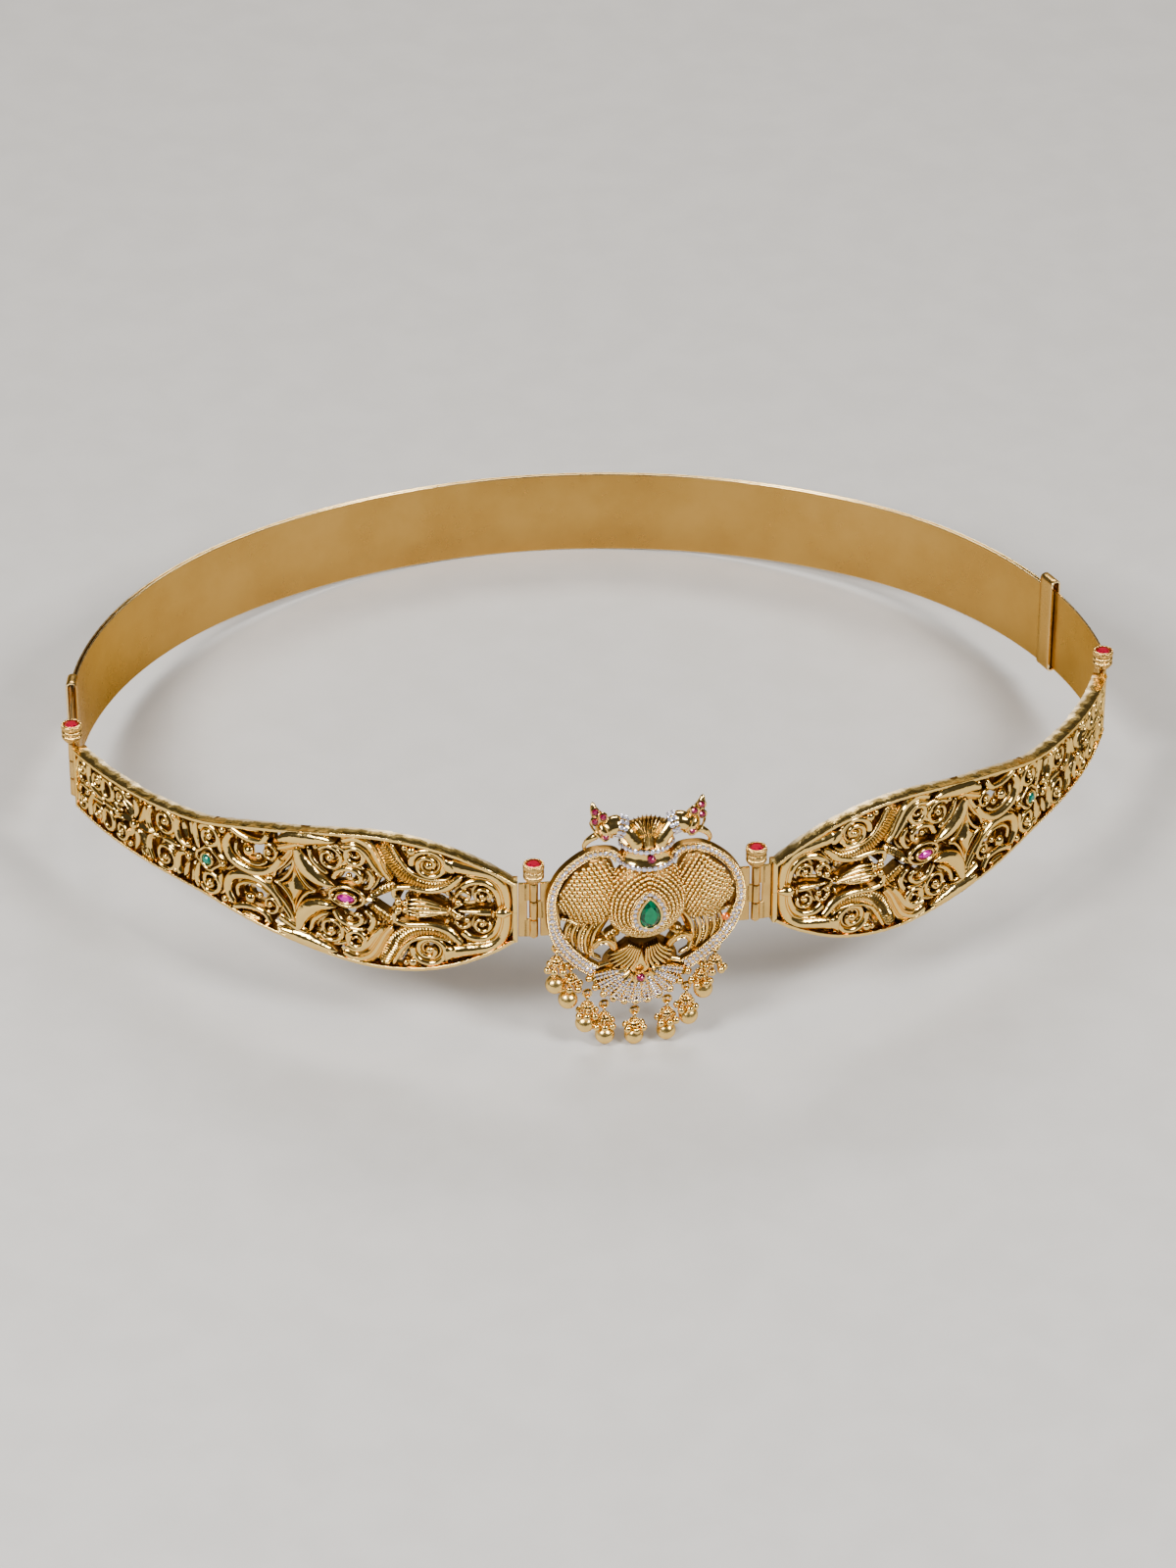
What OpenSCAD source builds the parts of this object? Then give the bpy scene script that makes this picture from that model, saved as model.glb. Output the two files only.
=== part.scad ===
// Oddiyanam waist belt: a two-headed bird pendant between two curved openwork panels,
// four pin hinges, and two thin plain bands that overlap round the back.
// The belt stands on its edge and leans a little, on its lowest drops and the rear of the bands.

/* [Hinge loop] */
// Half the distance between the two front hinge axes
front_x = 29.3; // [26:0.1:34]
// Depth of the front hinge axes
front_y = -82; // [-90:0.5:-76]
// Half the distance between the two back hinge axes
back_x = 143.3; // [138:0.1:150]
// Depth of the back hinge axes
back_y = 8; // [4:0.5:14]
// Forward lean of the standing belt, in degrees
lean = 7.68; // [7.6:0.02:7.8]

/* [Bands] */
// Height of the two plain bands
band_h = 25; // [20:0.5:30]
// Thickness of the band sheet
band_t = 0.6; // [0.5:0.1:1.2]
// Clear gap between the two bands
band_gap = 0.35; // [0.3:0.05:0.6]
// Radius of the middle arc of the bands
rear_r = 160; // [150:1:180]
// Radius of the two side arcs of the bands
side_r = 120; // [110:1:130]
// Angle where the arcs meet, from the middle of the back
arc_split = 35; // [30:1:40]

/* [Panels] */
// Radius of the panel's curved sheet
panel_r = 140; // [130:1:160]
// Depth of the panel from its front rail to its back edge
panel_d = 4; // [3:0.1:5]
// Width of the rim rail
rail_w = 1.9; // [1.6:0.1:2.4]

/* [Hinges] */
// Radius of the pin shaft
pin_r = 0.55; // [0.5:0.05:0.7]
// Radial clearance of the running fit
pin_fit = 0.05; // [0.03:0.01:0.08]
// Radial clearance at the open pivot of the loop
open_fit = 0.27; // [0.25:0.01:0.35]
// Outside radius of the knuckles
knuckle_r = 1.2; // [1.1:0.05:1.5]
// Height of one knuckle
knuckle_h = 5.2; // [4.5:0.1:6]
// Thickness of the hinge leaves
leaf_t = 1; // [0.8:0.1:1.2]
// Radius of the pin head
head_r = 2.85; // [2.4:0.05:3.2]

/* [Stones and drops] */
// Width of the small white stones
white_w = 1.7; // [1.4:0.1:2]
// Radius of the large drop balls
ball_r = 2.35; // [2:0.05:2.6]

/* [Hidden] */

gold = [0.85, 0.65, 0.28];
pale_gold = [0.9, 0.74, 0.4];
white = [0.92, 0.93, 0.95];
ruby = [0.7, 0.06, 0.2];
green = [0.02, 0.4, 0.28];
pink = [0.93, 0.35, 0.5];
orange = [0.85, 0.3, 0.06];

// Depth of the centre of the rear arc
rear_y = -21;

// Row frame: the belt leans by lean and stands on z = 0, centred on its own box.
stand_y = -24.59;
stand_z = 31.14;

// The panel's arc: chord from the front to the back hinge, bulging outward.
chord = sqrt(pow(back_x - front_x, 2) + pow(back_y - front_y, 2));
to_mid = sqrt(pow(panel_r, 2) - pow(chord / 2, 2));
arc_x = -(front_x + back_x) / 2 + to_mid * (back_y - front_y) / chord;
arc_y = (front_y + back_y) / 2 + to_mid * (back_x - front_x) / chord;
arc_a0 = atan2(front_x + arc_x, arc_y - front_y);
arc_len = 2 * asin(chord / 2 / panel_r) * PI / 180 * panel_r;

// Half height of the panel along its arc, from the pendant end.
outline = [[4.2, 8.9], [11.5, 13], [20.8, 17.1], [30.4, 19.4], [41.2, 20.1], [52, 19.1], [62.9, 17.3],
    [74.7, 15.2], [85, 12.9], [93.8, 11.2], [105, 10.3], [120, 9.7], [134, 9.3], [148.5, 8.8]];

// Centre line of a wing's stone border, from the collar round to its lower tip.
border = [[8, 15.6], [11, 16.5], [14.5, 16.1], [18.2, 14], [21.4, 11], [23.5, 7.4], [24.5, 3.2],
    [24.4, -1.2], [23.5, -5.6], [21.6, -9.8], [18.6, -13.6], [15.2, -16.8], [11.8, -19.2]];

// Drops: x and z of the lug, x shift of the ball, length from lug to ball centre.
drops = [[-22.6, -11.4, -0.4, 11.4], [-18.3, -17.2, -0.8, 10.6], [-13.2, -26.2, -0.6, 9.4],
    [-8.4, -29.9, 0.2, 9.8], [0, -32.6, -0.2, 7.8], [8.4, -29.9, -0.2, 9.9],
    [13.2, -26.2, 0.6, 9.4], [16.4, -18.7, 0.6, 9], [19.8, -14.8, 0.4, 0]];

// Points along curves

function blend(p, q, t) = p * (1 - t) + q * t;
function spline(a, b, c, d, t) = 0.5 * ((2 * b) + (c - a) * t + (2 * a - 5 * b + 4 * c - d) * t * t
    + (3 * b - a - 3 * c + d) * t * t * t);
function smooth(p, n) = [for (i = [0:len(p) - 2]) for (k = [0:n - 1])
    spline(p[max(i - 1, 0)], p[i], p[i + 1], p[min(i + 2, len(p) - 1)], k / n), p[len(p) - 1]];
function spiral(x, z, r0, r1, a0, turn, n) = [for (i = [0:n]) let (t = i / n, r = r0 + (r1 - r0) * pow(t, 2.2),
    a = a0 + turn * t) [x + r * cos(a), z + r * sin(a)]];
function side(p, i) = let (n = len(p) - 1, ring = norm(p[0] - p[n]) < 0.01,
    a = ring && i == 0 ? p[n - 1] : p[max(i - 1, 0)], b = ring && i == n ? p[1] : p[min(i + 1, n)],
    d = b - a) [-d[1], d[0]] / norm(d);
function at_panel(q, r) = let (a = arc_a0 + q[0] / panel_r * 180 / PI)
    [arc_x - (panel_r + r) * sin(a), arc_y - (panel_r + r) * cos(a), q[1]];
function at_front(q, r) = let (p = askew(q)) [p[0], front_y - r, p[1]];

// The lower half of the pendant hangs a little to the wearer's right; $hand is -1 inside a mirrored half.
function askew(q) = [q[0] + $hand * 0.085 * min(q[1], 0), q[1]];
$hand = 1;

// Bars stand a little off the common planes, as hand-finished castings do; $turn tells the halves apart.
function uneven(q) = 0.2 * abs(sin(97 * q[0] + 61 * q[1] + $turn));
$turn = 0;

// A bar swept along flat points, laid on the panel's arc or on the pendant's front.
// It is w0 wide at its start and w1 at its end; the crest is narrower than the foot.
module bar(points, w0, w1, r0, r1, crest = 0.45, front = false, whole = true) {
    n = len(points);
    e = front ? 0 : uneven(points[0]);
    rings = [for (i = [0:n - 1]) let (t = i / (n - 1), w = (w0 + (w1 - w0) * t) / 2, m = side(points, i),
        p = points[i]) [for (c = [[-w, r0 + e], [w, r0 + e], [w * crest, r1 + e], [-w * crest, r1 + e]])
        front ? at_front(p + m * c[0], c[1]) : at_panel(p + m * c[0], c[1])]];
    if (whole) skin(rings, front);
    else for (i = [0:n - 2]) skin([rings[i], rings[i + 1]], front);
}

// A closed skin over four-cornered rings.
module skin(rings, front) {
    n = len(rings);
    faces = concat([[3, 2, 1, 0]], [[for (k = [0:3]) 4 * (n - 1) + k]], [for (i = [0:n - 2]) for (k = [0:3])
        let (a = 4 * i + k, b = 4 * i + (k + 1) % 4) each [[a, b, b + 4], [a, b + 4, a + 4]]]);
    polyhedron([for (r = rings) each r],
        front ? [for (f = faces) [for (k = [len(f) - 1:-1:0]) f[k]]] : faces);
}

// Carries its children to a place on the left panel: local -y points outward, +x back to the pendant.
module on_panel(s, z) {
    translate([arc_x, arc_y, z]) rotate([0, 0, -arc_a0 - s / panel_r * 180 / PI])
        translate([0, -panel_r, 0]) children();
}

// Carries its children to a place on the pendant's front: local -y points outward.
module on_front(x, z, r = 0) {
    translate(at_front([x, z], r)) children();
}

// A leaf lying in the local x z plane, tip to tip, with a raised middle.
module leaf(l, w, d, foot = 1.63) {
    hull() {
        rotate([90, 0, 0]) translate([0, 0, -foot]) linear_extrude(foot + 0.4)
            polygon([[-l / 2, 0], [-l / 5, w / 2], [l / 5, w / 2], [l / 2, 0], [l / 5, -w / 2], [-l / 5, -w / 2]]);
        translate([0, -d, 0]) cube([l * 0.5, 0.1, 0.2], center = true);
    }
}

// A round boss with a domed front.
module boss(r, d, foot = 1.71, n = 8) {
    hull() {
        rotate([90, 0, 0]) translate([0, 0, -foot]) cylinder(r = r, h = foot + d * 0.5, $fn = n);
        rotate([90, 0, 0]) cylinder(r = r * 0.5, h = d, $fn = n);
    }
}

// A cut stone seen along local -y: flat table, ring of crown facets, pointed back.
module cut_stone(w, h, crown, deep, n = 8, tip = 0) {
    girdle = [for (i = [0:n - 1]) let (a = 90 + 360 * i / n, q = [w / 2 * cos(a), h / 2 * sin(a)])
        tip == 0 ? q : [q[0] * (tip > 1 ? 1 - 0.28 * abs(sin(a)) : 1 - 0.3 * max(sin(a), 0)), q[1]]];
    table = girdle * 0.62;
    points = concat([for (q = table) [q[0], -crown, q[1]]], [for (q = girdle) [q[0], 0, q[1]]],
        [[0, deep, 0]]);
    polyhedron(points, concat([[for (i = [n - 1:-1:0]) i]],
        [for (i = [0:n - 1]) let (j = (i + 1) % n) each [[i, j, n + j], [i, n + j, n + i]]],
        [for (i = [0:n - 1]) let (j = (i + 1) % n) [n + i, n + j, 2 * n]]));
}

// Plain bands

// A point of the band's run; the angle is measured from the rear middle, positive to the right.
function run_point(u, inset) = let (s = sign(u), d = rear_r - side_r) abs(u) <= arc_split
    ? [(rear_r + inset) * sin(u), rear_y + (rear_r + inset) * cos(u)]
    : [s * d * sin(arc_split) + (side_r + inset) * sin(u), rear_y + d * cos(arc_split) + (side_r + inset) * cos(u)];

// A strip of sheet along the run between two angles.
module strip(from, to, inset, t, h) {
    n = ceil((to - from) / 2.5);
    translate([0, 0, -h / 2]) linear_extrude(h) polygon(concat(
        [for (i = [0:n]) run_point(from + (to - from) * i / n, inset)],
        [for (i = [n:-1:0]) run_point(from + (to - from) * i / n, inset + t)]));
}

// A folded sleeve that holds the other band against this one, open along the run.
module keeper(from, to, inner, outer) {
    t = 0.8;
    lip = band_h / 2 + 0.4;
    strip(from, to, outer - 0.1, t, 2 * (lip + t));
    strip(from, to, inner - t + 0.1, t, 2 * (lip + t));
    for (z = [lip + t / 2, -lip - t / 2]) translate([0, 0, z]) strip(from, to, inner - 0.1, outer - inner + 0.2, t);
}

// Hinges

// Knuckles on a vertical axis; the plate that carries them runs along +x from the axis.
module knuckles(levels, bore) {
    for (k = levels) translate([0, 0, k * (knuckle_h + 0.3) - knuckle_h / 2]) difference() {
        union() {
            cylinder(r = knuckle_r, h = knuckle_h);
            translate([0, -leaf_t / 2, 0]) cube([knuckle_r + 1.2, leaf_t, knuckle_h]);
        }
        translate([0, 0, -1]) cylinder(r = bore, h = knuckle_h + 2);
    }
}

module hinge_leaf(levels, bore, l) {
    knuckles(levels, bore);
    translate([knuckle_r + 0.5, -leaf_t / 2, -8.1]) cube([l - knuckle_r - 0.5, leaf_t, 16.2]);
}

// The pin: a plain shaft, a stepped collar and a grooved head with a seat for its stone.
module pin() {
    translate([0, 0, -8.7]) cylinder(r = pin_r, h = 18);
    translate([0, 0, 8.5]) cylinder(r = 1.9, h = 0.9);
    difference() {
        rotate_extrude() polygon([[0, 9.2], [2.3, 9.2], [head_r - 0.1, 9.9], [head_r - 0.1, 10.5],
            [head_r - 0.35, 10.8], [head_r - 0.1, 11.1], [head_r - 0.1, 11.9], [head_r - 0.35, 12.2],
            [head_r, 12.6], [head_r, 13.6], [2.3, 14], [2.05, 14], [2.05, 12.8], [0, 12.8]]);
    }
}

module pin_ruby() {
    translate([0, 0, 13.4]) rotate([-90, 0, 0]) cut_stone(3.9, 3.9, 0.9, 0.5, 12);
}

// Panels

// Everything above the middle line; the lower half is its reflection.
module panel_half() {
    d = panel_d / 2;
    top = [for (q = outline) [q[0] + (q[0] < 5 ? 0.9 : q[0] > 148 ? -0.9 : 0), q[1] - rail_w / 2]];
    bar(top, rail_w, rail_w, -d, d, 0.8);
    bar([[5.1, 9.2], [5.1, -0.2]], 1.8 - 0.003 * $turn, 1.8 - 0.003 * $turn, -d, d, 0.9);
    bar([[147.6, 9], [147.6, -0.2]], 1.8 - 0.003 * $turn, 1.8 - 0.003 * $turn, -d, d, 0.9);
    // Horseshoe and inner curl next to the pendant.
    bar(smooth([[19.5, 15.4], [13, 11.8], [8.9, 7], [7.6, -0.3]], 2), 2.4, 2.4, -d, 1.8);
    bar(smooth([[24, 9.4], [17, 9], [12.6, 5.6], [11.4, -0.3]], 2), 1.2, 2, -d, 1.5);
    on_panel(16.6, 4.4) boss(3.2, 2);
    // Large curl with the ribbed crescent that holds it.
    bar(spiral(27, 12.2, 5.4, 1.4, 80, -440, 8), 2, 1.6, -d, 2.1, whole = false);
    bar(smooth([[40.8, 19], [38, 13.4], [32.4, 8.2], [20.4, 7.2]], 2), 3.2, 2, -d, 2.4);
    bar(smooth([[34.6, 8.4], [38.4, 4.4], [44.6, 0.8]], 2), 2.6, 1.6, -d, 2);
    bar(smooth([[50.5, 18.4], [44, 15.6], [39.6, 12.2], [35.8, 8.2]], 2), 2.4, 1.6, -d, 2);
    // Curls and leaves round the pink stone and the star.
    bar(spiral(47.8, 10, 3.2, 1, 200, -400, 6), 1.7, 1.3, -d, 1.8, whole = false);
    bar(smooth([[44.4, 2], [43.4, 6], [44.8, 9.4]], 2), 1.8, 1.6, -d, 1.6);
    bar(spiral(54.8, 10.6, 3.2, 1, 200, 400, 6), 1.7, 1.3, -d, 1.8, whole = false);
    bar(smooth([[52, 13], [56.5, 16.2], [63, 15.6]], 2), 3, 2, -d, 2.2);
    bar(smooth([[63.5, 7.4], [58, 7.4], [52.2, 3]], 2), 2.8, 1.8, -d, 2.2);
    bar(smooth([[68.6, 14.9], [66.4, 9.6], [63.8, 5.6]], 2), 2.6, 1.8, -d, 2.2);
    // Oval ring with its curl, then the curls that run to the back hinge.
    bar([for (a = [0:45:360]) [76.8 + 5 * cos(a), 7.5 + 5.2 * sin(a)]], 1.8, 1.8, -d, 2, whole = false);
    on_panel(76.8, 7.5) leaf(10, 3.4, 2);
    bar(spiral(90, 7, 3.5, 1, 95, 400, 6), 1.7, 1.3, -d, 1.8, whole = false);
    bar(spiral(98.4, 4.9, 3.7, 1, 85, 400, 6), 1.8, 1.3, -d, 1.8, whole = false);
    bar(spiral(107, 4.8, 3.7, 1, 95, -400, 6), 1.8, 1.3, -d, 1.8, whole = false);
    bar(spiral(124.2, 4.5, 3.4, 1, 85, 400, 6), 1.7, 1.3, -d, 1.8, whole = false);
    bar([for (a = [0:45:360]) [131.4 + 3 * cos(a), 4.3 + 3 * sin(a)]], 1.7, 1.7, -d, 1.8, whole = false);
    bar(spiral(138.2, 4.2, 3.2, 1, 85, 380, 6), 1.7, 1.3, -d, 1.8, whole = false);
    on_panel(143.6, 4.2) rotate([0, 90, 0]) leaf(9.4, 4, 2);
    on_panel(83.6, 9.7) boss(2, 2.2);
    on_panel(33.6, 1.9) boss(1.4, 2.2);
    on_panel(31.6, 16.4) boss(1.2, 2);
    on_panel(33.9, 16.9) boss(1.2, 2);
    on_panel(115.6, 4.3) rotate([0, 90, 0]) leaf(9.6, 4, 2.2);
}

module panel() {
    panel_half();
    mirror([0, 0, 1]) let ($turn = 50) panel_half();
    on_panel(8.6, 0) leaf(9, 3, 2.6);
    // The fluted bud that lies along the middle.
    for (z = [-2, 0, 2]) on_panel(26.4, z) leaf(15, 2.8, 3);
    on_panel(34.2, 0) boss(1.6, 2.2);
    on_panel(39, 0) leaf(8, 3, 2);
    // Pointed seat of the pink stone.
    on_panel(49.2, 0) difference() {
        leaf(12.4, 7.6, 2.4);
        translate([0, -5, 0]) rotate([-90, 0, 0]) linear_extrude(5)
            polygon([for (i = [0:7]) let (a = 45 * i) [2.75 * cos(a), 1.75 * sin(a) * (1 - 0.28 * abs(cos(a)))]]);
    }
    on_panel(55.8, 0) boss(1.5, 2);
    // Star with hollow sides.
    on_panel(63.7, 0) {
        rotate([90, 0, 0]) translate([0, 0, -1.87]) linear_extrude(3.5) polygon([for (i = [0:7])
            let (a = 45 * i, r = i % 2 == 0 ? 7.6 : 3.1) [r * cos(a), r * sin(a)]]);
        boss(2.6, 2.8);
    }
    on_panel(72.6, 0) boss(2.3, 2.4);
    on_panel(81, 0) boss(3.6, 2.4);
    on_panel(85.2, 0) leaf(6.4, 3, 2);
    // Round seat of the green stone.
    on_panel(91, 0) difference() {
        boss(3.9, 2.6, 1.79, 14);
        translate([0, -1.2, 0]) rotate([90, 0, 0]) cylinder(r = 2.2, h = 4, $fn = 14);
    }
    on_panel(115.6, 0) leaf(13, 3.4, 2.4);
    on_panel(127.8, 0) leaf(8, 3.4, 2);
    on_panel(141.2, 0) leaf(7.4, 3.6, 2);
    on_panel(134.8, 0) leaf(6, 3.4, 2);
}

module panel_marquise() {
    on_panel(49.2, 0) translate([0, -1.7, 0]) rotate([0, 90, 0]) cut_stone(3, 5.1, 1.2, 1.4, 8, 2);
}

module panel_green() {
    on_panel(91, 0) translate([0, -2.1, 0]) cut_stone(3.9, 3.9, 1.1, 0.8, 10);
}

// Hinge leaves of the left panel; its knuckles are the upper and the lower one.
module panel_leaf_front() {
    a = arc_a0;
    translate([-front_x, front_y, 0]) rotate([0, 0, 180 - a]) hinge_leaf([-1, 1], pin_r + pin_fit, 4);
}

module panel_leaf_back() {
    a = arc_a0 + arc_len / panel_r * 180 / PI;
    translate([-back_x, back_y, 0]) rotate([0, 0, -a]) hinge_leaf([-1, 1], pin_r + pin_fit, 4);
}

// Pendant

back = 0.65;

module wing() {
    // Thin ground behind the scales and feathers.
    translate([0, front_y - back, 0]) rotate([90, 0, 0]) linear_extrude(1.2)
        polygon([for (q = concat([for (i = [0:9]) border[i]], [[18.4, -12], [14.5, -12.5], [12, -8],
        [8.5, -2], [9, 6], [7, 13]])) askew(q)]);
    // Rounded shoulder that carries the scales.
    hull() {
        translate([0, front_y - back, 0]) rotate([90, 0, 0]) linear_extrude(1.6)
            polygon([[8.6, 14.4], [14, 14.6], [19, 11.4], [22, 6.6], [22.8, 1.6], [18, -4.4],
            [12, -3.6], [8.6, 2]]);
        translate([0, front_y - 4.2, 0]) rotate([90, 0, 0]) linear_extrude(0.2)
            polygon([[11.6, 10.4], [15.6, 10.4], [18.6, 5.4], [18.4, 1.6], [13, 0.6]]);
    }
    bar(border, 2.9, 2.6, back - 0.05, 2.9, 0.9, true);
    // Curved flight feathers.
    for (k = [0:4]) bar([[11.6 + 2.3 * k, -2.6 - 0.5 * k], [12.8 + 2 * k, -7 - 0.4 * k],
        [12.2 + 1.9 * k, -10.4 - 0.3 * k], [10.6 + 2 * k, -13.4 + 0.6 * k]],
        1.8, 1.3, back + 0.04 * k, 2.7, 0.4, true);
}

module bird_side() {
    wing();
    // Neck, head, beak and crest of the bird that looks outward.
    for (k = [0:2]) bar([[0.5 + 1.2 * k, 18.2], [0.9 + 1.3 * k, 21.6 - 0.3 * k], [2.2 + 1.1 * k, 24.8 - 0.9 * k],
        [5.8, 27.2 - 2.1 * k]], 1.8, 2.3, back + 0.06 * k, 4.6 - 0.1 * k, 0.4, true);
    on_front(8, 25, 2.9) scale([1.5, 0.9, 0.95]) sphere(r = 2.9, $fn = 10);
    on_front(11.6, 24.4, 3) scale([1, 0.85, 0.98]) sphere(r = 3.5, $fn = 12);
    bar(smooth([[13, 23.8], [15.4, 22.4], [16.2, 20.2], [15.4, 17.6]], 2), 3, 0.8, 1.8, 4.2, 0.6, true);
    hull() {
        on_front(11.6, 27.6, 2.6) sphere(r = 1.9, $fn = 8);
        on_front(14, 29, 2.8) sphere(r = 1.8, $fn = 8);
    }
    hull() {
        on_front(13.6, 28.4, 2.8) sphere(r = 1.5, $fn = 8);
        on_front(14, 31.6, 2.8) sphere(r = 0.5, $fn = 6);
    }
    // Band of white stones round the neck.
    bar([[6.1, 21.5], [6.1, 28.5]], 2.2, 2.2, 1, 6.1, 0.8, true);
    // Curled leg that ties the belly to the wing tip.
    bar([[6.2, -7], [8.8, -6.9], [11.2, -7.9], [12.7, -10.1], [12.3, -12.6], [10.2, -14.1], [7.9, -13.2], [7.9, -11]],
        2.1, 1.3, back + 0.12, 3.4, 0.5, true);
    bar([[12.4, -10.4], [15, -12.6], [16.6, -16]], 1.8, 1.6, back + 0.16, 2.4, 0.6, true);
    // Tail plumes of this side.
    for (k = [0:3]) let (a = -90 + 21 * k, l = [12.2, 12.4, 12.8, 13.6][k]) bar([[2 * cos(a), -19.4 + 2 * sin(a)],
        [l * cos(a), -19.4 + l * sin(a)]], 2.4, 4.7, back + 0.05 * k, 2.4, 0.7, true);
}

module pendant_body() {
    bird_side();
    mirror([1, 0, 0]) let ($hand = -1) bird_side();
    // Belly, collar and skirt: one shell with an open, flat back.
    difference() {
        union() {
            hull() {
                on_front(0, 2.6, 0.5) scale([1, 0.68, 1.12]) sphere(r = 10.9, $fn = 16);
                on_front(0, 12.6, 0.5) scale([1, 0.72, 1]) sphere(r = 6.2, $fn = 10);
            }
            hull() {
                on_front(0, 13, 0.5) scale([1, 0.9, 1]) cylinder(r = 7.1, h = 0.4, $fn = 14);
                on_front(0, 19.6, 0.5) scale([1, 0.86, 1]) cylinder(r = 6.4, h = 0.4, $fn = 14);
            }
            hull() {
                on_front(0, -9, 0.5) scale([1, 0.9, 1]) cylinder(r = 4.6, h = 0.4, $fn = 14);
                on_front(0, -19.6, 0.5) scale([1, 0.42, 1]) cylinder(r = 8.2, h = 0.4, $fn = 14);
            }
        }
        on_front(0, 3.1, 0.3) scale([1, 0.64, 1.15]) sphere(r = 9.3, $fn = 12);
        on_front(-15, -25, 0.62) cube([30, 12, 50]);
    }
    // Pointed oval seat of the green stone.
    difference() {
        on_front(0, 1.4, 6.6) hull() {
            rotate([90, 0, 0]) cylinder(r = 5.4, h = 1.2, $fn = 16);
            translate([0, 0, 5.6]) rotate([90, 0, 0]) cylinder(r = 1.4, h = 1.2, $fn = 8);
            rotate([90, 0, 0]) cylinder(r = 3.7, h = 2.5, $fn = 16);
            translate([0, 0, 3.6]) rotate([90, 0, 0]) cylinder(r = 1.2, h = 2.5, $fn = 8);
        }
        on_front(0, 1.4, 7.4) rotate([90, 0, 0]) linear_extrude(5) polygon([for (i = [0:11])
            let (a = 90 + 30 * i, m = 1 - 0.3 * max(sin(a), 0)) [3.05 * cos(a) * m, 4.5 * sin(a)]]);
    }
    // Seats of the two rubies on the middle line.
    on_front(0, 16.2, 5.6) difference() {
        rotate([90, 0, 0]) cylinder(r = 1.75, h = 1.5, $fn = 12);
        translate([0, -0.5, 0]) rotate([90, 0, 0]) cylinder(r = 1.2, h = 2, $fn = 12);
    }
    on_front(0, -20.4, 2.4) difference() {
        rotate([90, 0, 0]) cylinder(r = 2.3, h = 3.2, $fn = 12);
        translate([0, -2.1, 0]) rotate([90, 0, 0]) cylinder(r = 1.35, h = 2, $fn = 12);
    }
    // Lugs for the drops, each soldered to the edge above it.
    for (d = drops) on_front(d[0], d[1], 1.6) rotate([90, 0, 0])
        rotate_extrude($fn = 8) translate([1, 0]) circle(r = 0.42, $fn = 5);
}

module pendant_leaf(bore) {
    translate([-front_x, front_y, 0]) hinge_leaf([0], bore, 7);
}

function halo(n, w, h) = [for (i = [0:n - 1]) let (a = 90 + 360 * i / n, m = 1 - 0.3 * max(sin(a), 0))
    [w * cos(a) * m, 1.4 + h * sin(a) + (sin(a) > 0 ? 1.2 * pow(sin(a), 6) : 0)]];

module white_stone(x, z, r) {
    on_front(x, z, r) cut_stone(white_w, white_w, 0.35, 0.5);
}

function along(p, s) = let (n = len(p) - 1, t = s * n, i = min(floor(t), n - 1)) blend(p[i], p[i + 1], t - i);

module wing_stones() {
    for (i = [0:13]) let (q = along(border, (i + 0.45) / 14)) white_stone(q[0], q[1], 3.5);
}

module head_rubies() {
    for (q = [[11, 24, 6.45], [12.3, 29.4, 5], [14.7, 29.2, 4.7], [13.9, 31.2, 3.6]])
        on_front(q[0], q[1], q[2]) cut_stone(1.9, 1.9, 0.6, 0.3);
}

// A drop: jump ring, cap, four small balls round it and the large ball below.
module drop(k) {
    d = drops[k];
    on_front(d[0], d[1], 1.6) {
        translate([0, 0, -1.38]) rotate([0, 90, 0]) rotate_extrude() translate([1.2, 0]) circle(r = 0.3);
        translate([0, 0, -4.3]) {
            cylinder(r1 = 1.2, r2 = 0.5, h = 1.7);
            for (a = [45, 135, 225, 315]) {
                rotate([0, 0, a]) rotate([0, 135, 0]) cylinder(r = 0.3, h = 2.4);
                rotate([0, 0, a]) translate([1.75, 0, -1.75]) sphere(r = 0.95);
            }
        }
        if (d[3] > 0) {
            translate([d[2], 0, -d[3]]) sphere(r = ball_r);
            translate([d[2] * 0.6, 0, -d[3]]) cylinder(r = 0.35, h = d[3] - 4.1);
        }
    }
}

// Nodes

module band_inner() {
    color(pale_gold) {
        strip(-89.3, 71.5, -band_t / 2, band_t, band_h);
        keeper(70.5, 73.5, -band_t / 2, band_t * 1.5 + band_gap * 2 + 0.1);
        translate([-back_x, back_y, 0]) rotate([0, 0, 90]) hinge_leaf([0], pin_r + pin_fit, 7);
    }
}

module band_outer() {
    color(pale_gold) {
        strip(-81, 88.9, band_t / 2 + band_gap, band_t, band_h);
        keeper(-82.6, -80, -band_t / 2 - band_gap - 0.1, band_t * 1.5 + band_gap);
        translate([back_x, back_y, 0]) rotate([0, 0, 90]) hinge_leaf([0], pin_r + pin_fit, 7);
    }
}

module panel_left() { color(gold) panel(); }

module panel_right() { color(gold) mirror([1, 0, 0]) panel(); }

module leaf_left_front() { color(pale_gold) panel_leaf_front(); }

module leaf_left_back() { color(pale_gold) panel_leaf_back(); }

module leaf_right_front() { color(pale_gold) mirror([1, 0, 0]) panel_leaf_front(); }

module leaf_right_back() { color(pale_gold) mirror([1, 0, 0]) panel_leaf_back(); }

module marquise_left() { color(pink) panel_marquise(); }

module marquise_right() { color(pink) mirror([1, 0, 0]) panel_marquise(); }

module green_stone_left() { color(green) panel_green(); }

module green_stone_right() { color(green) mirror([1, 0, 0]) panel_green(); }

module pendant_setting() { color(gold) pendant_body(); }

module pendant_leaf_left() { color(pale_gold) pendant_leaf(pin_r + open_fit); }

module pendant_leaf_right() { color(pale_gold) mirror([1, 0, 0]) pendant_leaf(pin_r + pin_fit); }

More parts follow.
